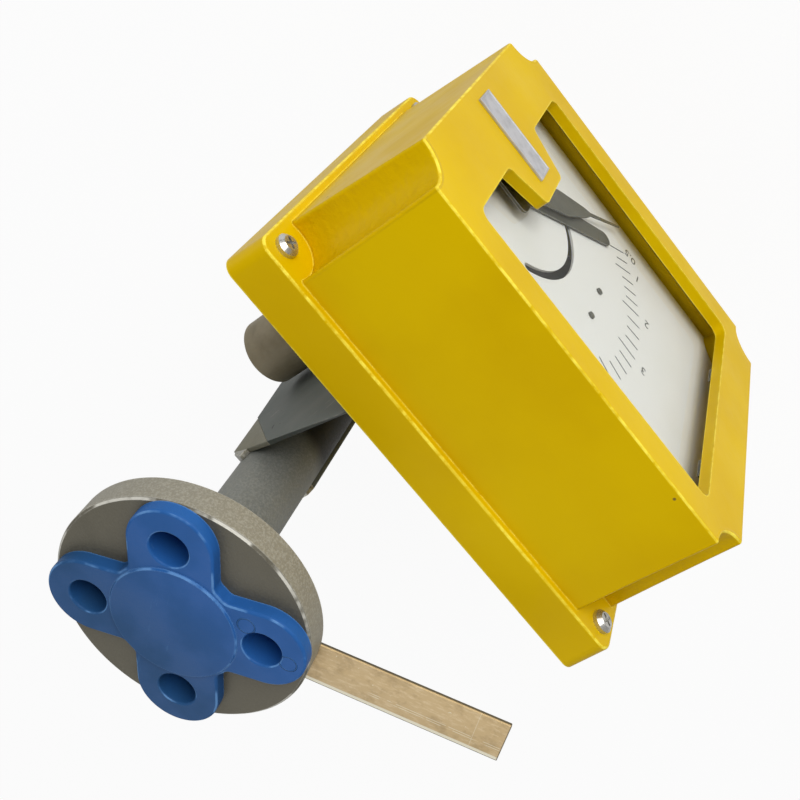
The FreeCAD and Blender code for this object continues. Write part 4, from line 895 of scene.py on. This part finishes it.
@dataclass(frozen=True)
class Rubber(Finish):
    """Black rubber of the seals."""

    name: str = "black_rubber"
    colour: Colour = (0.015, 0.015, 0.014)
    dusty: Colour = (0.05, 0.048, 0.042)
    dust_size: float = 3 * MM
    dust_depth: float = 0.03 * MM

    def build(self, graph: Graph) -> bpy.types.Material:
        """Dust the black a little.

        Args:
            graph: Empty graph of this finish.

        Returns:
            The material.
        """
        dust = graph.noise(self.dust_size)
        colour = graph.mix(dust.ramp(0.45, 0.7), self.colour, self.dusty)
        return graph.finish(Base_Color=colour, Roughness=dust.ramp(0.3, 0.7, 0.62, 0.78),
                            Normal=graph.bump(dust, self.dust_depth, 0.4))


class Shade(Enum):
    """Finishes of the frame's nodes, by what they are made of."""

    PAINT = StovedPaint()
    FLANGE = FlangeSteel()
    TUBE = TubeSteel()
    LUG = LugSteel()
    BEAD = BlastedSteel(name="weld_bead", colour=(0.30, 0.29, 0.24), light=(0.50, 0.49, 0.43),
                        dark=(0.15, 0.14, 0.11), metallic=0.5, roughness=0.34, grain=1.6 * MM, wear=1.0)
    CAN = BlastedSteel(name="drawn_can", colour=(0.285, 0.24, 0.155), light=(0.32, 0.275, 0.185),
                       dark=(0.19, 0.158, 0.10), grain=6.0 * MM, wear=0.25, stain=0.7, metallic=0.1)
    CAP = MouldedPlastic()
    BRACKET = SheetPaint()
    STRIP = RolledStrip()
    SCREW = PlainMetal(name="plated_steel", colour=(0.66, 0.65, 0.61), roughness=0.28, metallic=0.9)
    INNER = PlainMetal(name="machined_steel", colour=(0.50, 0.49, 0.46), roughness=0.35)
    # PLATE, POINTER and NAMEPLATE get a painted highlight on their edges.
    PLATE = PlainMetal(name="bridge_metal", colour=(0.050, 0.048, 0.040), roughness=0.34, metallic=0.2,
                       edge=0.85)
    BRASS = PlainMetal(name="turned_brass", colour=(0.62, 0.46, 0.20), roughness=0.32)
    MAGNET = PlainMetal(name="magnet_black", colour=(0.08, 0.08, 0.085), roughness=0.5, metallic=0.5)
    POINTER = PlainMetal(name="pointer_grey", colour=(0.085, 0.085, 0.066), roughness=0.45, metallic=0.2,
                         edge=0.25)
    NAMEPLATE = PlainMetal(name="nameplate_silver", colour=(0.55, 0.55, 0.57), roughness=0.4, metallic=0.3,
                           edge=0.5)
    ENAMEL = Enamel()
    INK = PrintedInk()
    GLASS = ClearGlass()
    RUBBER = Rubber()


NODE_SHADES: dict[str, Shade] = {
    "bottom_flange": Shade.FLANGE, "top_flange": Shade.FLANGE, "metering_tube": Shade.TUBE,
    "flange_welds": Shade.BEAD, "flange_cap": Shade.CAP, "tag_strip": Shade.STRIP,
    "float_body": Shade.INNER, "float_magnet": Shade.MAGNET, "float_plug": Shade.INNER,
    "lower_guide": Shade.INNER, "upper_guide": Shade.INNER, "tapered_liner": Shade.INNER,
    "tube_lugs": Shade.LUG, "tack_welds": Shade.BEAD, "mounting_bracket": Shade.BRACKET,
    "bracket_screws": Shade.SCREW, "back_tray": Shade.PAINT, "housing_cover": Shade.PAINT,
    "cover_seal": Shade.RUBBER, "cover_screws": Shade.SCREW, "nameplate": Shade.NAMEPLATE,
    "window_glass": Shade.GLASS, "window_seal": Shade.RUBBER, "glass_clips": Shade.PLATE,
    "dial_plate": Shade.ENAMEL, "dial_screws": Shade.POINTER, "dial_spacers": Shade.BRASS,
    "movement_plate": Shade.PLATE, "movement_posts": Shade.BRASS, "post_nuts": Shade.BRASS,
    "pivot_sleeve": Shade.BRASS, "front_bridge": Shade.PLATE, "pointer_shaft": Shade.INNER,
    "pointer": Shade.POINTER, "counterweight": Shade.BRASS, "setting_arm": Shade.POINTER,
    "arm_washer": Shade.INNER, "magnet_can": Shade.CAN, "can_screws": Shade.SCREW,
    "rear_bush": Shade.BRASS, "follower_magnet": Shade.MAGNET, "magnet_holder": Shade.BRASS,
}


def dress(target: bpy.types.Object, shade: Shade) -> None:
    """Give an object one finish.

    Args:
        target: The object.
        shade: The finish.
    """
    material = shade.value.material()
    target.data.materials.clear()
    target.data.materials.append(material)


def new_piece(mesh: bpy.types.Mesh, shade: Shade, body: str) -> bpy.types.Object:
    """Show a mesh as a piece that rides on a body.

    Args:
        mesh: The mesh, in the row frame; the piece takes its name.
        shade: Its finish.
        body: The body that carries it.

    Returns:
        The new object.
    """
    piece = bpy.data.objects.new(mesh.name, mesh)
    bpy.context.scene.collection.objects.link(piece)
    dress(piece, shade)
    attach(piece, body)
    LOG.info("%s: %d points, %d faces", mesh.name, len(mesh.vertices), len(mesh.polygons))
    return piece


@dataclass
class SoftenedNode:
    """A frame node redrawn with its triangles joined and its edges rounded."""

    node: str
    body: str
    shade: Shade
    slot: str
    width: float
    segments: int = 2
    angle: float = math.radians(28)
    reshape: Optional[Callable[[np.ndarray], np.ndarray]] = None
    merge: float = 0.001 * MM
    flat_angle: float = math.radians(1.0)

    def build(self) -> bpy.types.Object:
        """Copy the node, merge its points, dissolve flat faces, move points and bevel the edges.

        Returns:
            The new piece, which replaces the node.
        """
        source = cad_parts[self.node]
        shape = bmesh.new()
        shape.from_mesh(source.data)
        bmesh.ops.remove_doubles(shape, verts=shape.verts, dist=self.merge)
        bmesh.ops.dissolve_limit(shape, angle_limit=self.flat_angle, verts=shape.verts, edges=shape.edges)
        mesh = bpy.data.meshes.new(self.node + "_soft")
        shape.to_mesh(mesh)
        shape.free()
        if self.reshape is not None:
            points = np.empty(len(mesh.vertices) * 3)
            mesh.vertices.foreach_get("co", points)
            mesh.vertices.foreach_set("co", self.reshape(points.reshape(-1, 3)).ravel())
            mesh.update()
        mesh.polygons.foreach_set("use_smooth", [True] * len(mesh.polygons))
        piece = new_piece(mesh, self.shade, self.body)
        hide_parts(self.node)
        bevel = piece.modifiers.new("round_edges", "BEVEL")
        bevel.width = self.width
        bevel.segments = self.segments
        bevel.limit_method = "ANGLE"
        bevel.angle_limit = self.angle
        bevel.harden_normals = True
        return piece


def lower_web(points: np.ndarray, drop: float = 3.6 * MM, wall_x: float = 13.6 * MM,
              web_y: float = -64.0 * MM) -> np.ndarray:
    """End the bracket's web below the housing's edge: z = min(z, top - drop) away from the wide wall.

    Args:
        points: The bracket's points.
        drop: How far the web ends below the bracket's top.
        wall_x: Where the wide wall begins.
        web_y: Depth in front of which points belong to the web.

    Returns:
        The moved points.
    """
    web = (points[:, 0] < wall_x) & (points[:, 1] < web_y)
    points[web, 2] = np.minimum(points[web, 2], BRACKET_BOX[1].z - drop)
    return points


def small_heads(points: np.ndarray, radius: float = 1.35 * MM, axis_x: float = -19.8 * MM,
                low_z: float = 118.32 * MM, high_z: float = 137.08 * MM) -> np.ndarray:
    """Shrink the dial screws' heads: r = min(r, radius) about each screw's axis.

    Args:
        points: Points of both screws.
        radius: Radius of a head.
        axis_x: Both axes' place across the dial.
        low_z: Height of the lower axis.
        high_z: Height of the upper axis.

    Returns:
        The moved points.
    """
    middle = np.where(points[:, 2] > (low_z + high_z) / 2, high_z, low_z)
    across, up = points[:, 0] - axis_x, points[:, 2] - middle
    share = np.minimum(1.0, radius / np.maximum(np.hypot(across, up), 1e-9))
    points[:, 0], points[:, 2] = across * share + axis_x, up * share + middle
    return points


SOFTENED = (
    SoftenedNode("mounting_bracket", "meter", Shade.BRACKET, "bracket_paint", 0.30 * MM, reshape=lower_web),
    SoftenedNode("dial_screws", "meter", Shade.POINTER, "pointer_metal", 0.10 * MM, reshape=small_heads),
    SoftenedNode("tube_lugs", "meter", Shade.LUG, "lug_steel", 0.30 * MM),
    SoftenedNode("tack_welds", "meter", Shade.BEAD, "lug_steel", 0.90 * MM, 3),
    SoftenedNode("tag_strip", "meter", Shade.STRIP, "strip_steel", 0.25 * MM),
    SoftenedNode("nameplate", "meter", Shade.NAMEPLATE, "nameplate_metal", 0.15 * MM),
    SoftenedNode("magnet_can", "meter", Shade.CAN, "can_steel", 0.60 * MM, 3, math.radians(35)),
)


@dataclass
class DialPrint:
    """Scale marks and numbers printed on the dial."""

    centre_x: float = 32.1 * MM
    centre_z: float = 125.0 * MM
    proud: float = 0.06 * MM
    major_inner: float = 66.7 * MM
    minor_inner: float = 69.5 * MM
    outer: float = 76.8 * MM
    line_width: float = 0.55 * MM
    number_radius: float = 82.0 * MM
    number_height: float = 4.2 * MM
    digit_share: float = 0.7
    curve_steps: int = 4
    divisions: int = 4
    values: tuple[float, ...] = (0.5, 1.0, 2.0, 3.0, 4.0, 5.0)
    angles: tuple[float, ...] = (221.8, 214.1, 197.3, 176.1, 155.5, 135.0)

    def angle_of(self, value: np.ndarray) -> np.ndarray:
        """Angle on the dial of a flow, in degrees, by straight lines between the numbers."""
        return np.interp(value, self.values, self.angles)

    def ticks(self) -> bpy.types.Object:
        """Draw every mark as a flat box that points at the scale's centre.

        A mark's corners are centre + r (cos a, sin a) + w (-sin a, cos a), for its inner and outer
        radius r and for w of half a line to each side, on the dial's front and just before it.

        Returns:
            The piece.
        """
        flows = np.arange(self.values[0], self.values[-1] + 1e-6, 1.0 / self.divisions)
        whole = np.isclose(flows % 1.0, 0.0) | np.isclose(flows, self.values[0])
        turn = np.radians(self.angle_of(flows))
        inner = np.where(whole, self.major_inner, self.minor_inner)
        outer = np.full(len(flows), self.outer)
        along = np.stack([np.cos(turn), np.sin(turn)], axis=1)
        across = np.stack([-along[:, 1], along[:, 0]], axis=1) * self.line_width / 2
        back = DIAL_BOX[0].y
        corners = []
        for depth in (back - self.proud, back):
            for radius, side in ((inner, -1), (outer, -1), (outer, 1), (inner, 1)):
                flat = along * radius[:, None] + across * side
                corners.append(np.stack([self.centre_x + flat[:, 0], np.full(len(flows), depth),
                                         self.centre_z + flat[:, 1]], axis=1))
        points = np.stack(corners, axis=1).reshape(-1, 3)
        box = np.array([[0, 1, 2, 3], [7, 6, 5, 4], [0, 4, 5, 1], [1, 5, 6, 2], [2, 6, 7, 3], [3, 7, 4, 0]])
        faces = (box[None] + 8 * np.arange(len(flows))[:, None, None]).reshape(-1, 4)
        mesh = bpy.data.meshes.new("dial_marks")
        mesh.from_pydata(points.tolist(), [], faces.tolist())
        mesh.validate()
        return new_piece(mesh, Shade.INK, "meter")

    def number(self, value: float) -> bpy.types.Object:
        """Print one number upright beyond its mark.

        Args:
            value: The flow that the number gives.

        Returns:
            The piece.
        """
        text = "%g" % value
        name = "dial_number_" + text.replace(".", "_")
        curve = bpy.data.curves.new(name + "_text", "FONT")
        curve.body = text
        curve.size = self.number_height / self.digit_share
        curve.align_x = "CENTER"
        curve.align_y = "CENTER"
        curve.extrude = self.proud / 2
        curve.resolution_u = self.curve_steps
        holder = bpy.data.objects.new(name + "_text", curve)
        bpy.context.scene.collection.objects.link(holder)
        mesh = bpy.data.meshes.new_from_object(holder.evaluated_get(bpy.context.evaluated_depsgraph_get()))
        bpy.data.objects.remove(holder)
        turn = math.radians(float(self.angle_of(np.array(value))))
        centre = Vector((self.centre_x + self.number_radius * math.cos(turn), DIAL_BOX[0].y - self.proud / 2,
                         self.centre_z + self.number_radius * math.sin(turn)))
        mesh.transform(Matrix.Translation(centre) @ Matrix.Rotation(math.radians(90), 4, "X"))
        mesh.name = name
        return new_piece(mesh, Shade.INK, "meter")

    def build(self) -> None:
        """Print the marks and the numbers."""
        self.ticks()
        for value in self.values:
            self.number(value)
        LOG.info("dial printed with %d numbers", len(self.values))


@dataclass(frozen=True)
class Lamp:
    """A square soft light: where it hangs, its size in metres and its watts."""

    name: str
    place: Triple
    size: float
    power: float

    def hang(self, target: Triple) -> None:
        """Make the light and aim it.

        Args:
            target: The point that it faces.
        """
        data = bpy.data.lights.new(self.name, "AREA")
        data.size = self.size
        data.energy = self.power
        light = bpy.data.objects.new(self.name, data)
        aim = Vector(target) - Vector(self.place)
        turn = aim.to_track_quat("-Z", "Y").to_matrix().to_4x4()
        light.matrix_world = Matrix.Translation(Vector(self.place)) @ turn
        bpy.context.scene.collection.objects.link(light)


@dataclass
class Studio:
    """Pale floor, soft lights and the camera at the photograph's angle."""

    focal_px: float = 1044.15
    image_px: float = 800.0
    centre_px: tuple[float, float] = (399.0, 321.26)
    eye: Triple = (88.83 * MM, -263.72 * MM, 459.09 * MM)
    right: Triple = (-0.62561, -0.7175, -0.30626)
    down: Triple = (-0.7567, 0.46262, 0.46194)
    sensor: float = 36.0
    clip: tuple[float, float] = (0.01, 50.0)
    floor_drop: float = 1.0 * MM
    floor_size: float = 12.0
    floor_tone: Colour = (0.86, 0.86, 0.86)
    floor_glow: float = 0.92
    white: Colour = (1.0, 1.0, 1.0)
    ambient: float = 0.33
    target: Triple = (-0.01, -0.06, 0.12)
    lamps: tuple[Lamp, ...] = (
        Lamp("front_light", (0.42, -1.24, 0.74), 0.9, 14.0),
        Lamp("top_light", (-0.38, 0.72, 1.00), 0.8, 2.6),
        Lamp("side_light", (0.95, 0.70, 0.25), 0.8, 2.2),
    )

    def camera(self) -> None:
        """Place the camera: its axes are the image's right, up and backward directions."""
        data = bpy.data.cameras.new("photo_camera")
        data.sensor_width = self.sensor
        data.lens = self.sensor * self.focal_px / self.image_px
        data.shift_x = (self.image_px / 2 - self.centre_px[0]) / self.image_px
        data.shift_y = (self.centre_px[1] - self.image_px / 2) / self.image_px
        data.clip_start, data.clip_end = self.clip
        eye = bpy.data.objects.new("photo_camera", data)
        right = Vector(self.right).normalized()
        up = -Vector(self.down)
        up = (up - right * up.dot(right)).normalized()
        back = right.cross(up)
        turn = Matrix((right, up, back)).transposed().to_4x4()
        eye.matrix_world = Matrix.Translation(Vector(self.eye)) @ turn
        bpy.context.scene.collection.objects.link(eye)
        bpy.context.scene.camera = eye

    def floor(self) -> None:
        """Pale floor that shows nearly white and keeps the object's shadow."""
        half = self.floor_size / 2
        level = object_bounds()[0].z - self.floor_drop
        mesh = bpy.data.meshes.new("floor")
        corners = [(x * half, y * half, level) for x, y in ((-1, -1), (1, -1), (1, 1), (-1, 1))]
        mesh.from_pydata(corners, [], [(0, 1, 2, 3)])
        floor = bpy.data.objects.new("floor", mesh)
        bpy.context.scene.collection.objects.link(floor)
        graph = Graph("pale_floor")
        diffuse = graph.node("ShaderNodeBsdfDiffuse", {}, {"Color": self.floor_tone})
        glow = graph.node("ShaderNodeEmission", {}, {"Color": self.white, "Strength": 1.0})
        seen = graph.node("ShaderNodeLightPath", {}, {}, "Is Camera Ray")
        clear = graph.node("ShaderNodeLightPath", {}, {}, "Is Transmission Ray")
        share = seen.highest(clear) * self.floor_glow
        mixed = graph.node("ShaderNodeMixShader", {}, {0: share, 1: diffuse, 2: glow})
        mesh.materials.append(graph.close(mixed))
        floor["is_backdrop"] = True

    def sky(self) -> None:
        """Even pale surroundings, white where the camera sees them."""
        world = bpy.data.worlds.new("surroundings")
        world.use_nodes = True
        nodes, links = world.node_tree.nodes, world.node_tree.links
        soft = nodes["Background"]
        soft.inputs["Strength"].default_value = self.ambient
        white = nodes.new("ShaderNodeBackground")
        path = nodes.new("ShaderNodeLightPath")
        mixed = nodes.new("ShaderNodeMixShader")
        for background in (soft, white):
            background.inputs["Color"].default_value = (*self.white, 1.0)
        links.new(path.outputs["Is Camera Ray"], mixed.inputs[0])
        links.new(soft.outputs[0], mixed.inputs[1])
        links.new(white.outputs[0], mixed.inputs[2])
        links.new(mixed.outputs[0], nodes["World Output"].inputs["Surface"])
        bpy.context.scene.world = world

    def build(self) -> None:
        """Set up the whole studio."""
        bpy.context.scene.view_settings.view_transform = "Standard"
        self.camera()
        self.floor()
        self.sky()
        for lamp in self.lamps:
            lamp.hang(self.target)
        LOG.info("studio ready")


def main() -> None:
    """Dress the frame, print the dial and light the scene."""
    logging.basicConfig(level=logging.INFO, format="%(message)s")
    for name, shade in NODE_SHADES.items():
        dress(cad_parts[name], shade)
    for softened in SOFTENED:
        softened.build()
    DialPrint().build()
    Studio().build()


if __name__ == "__main__":
    main()
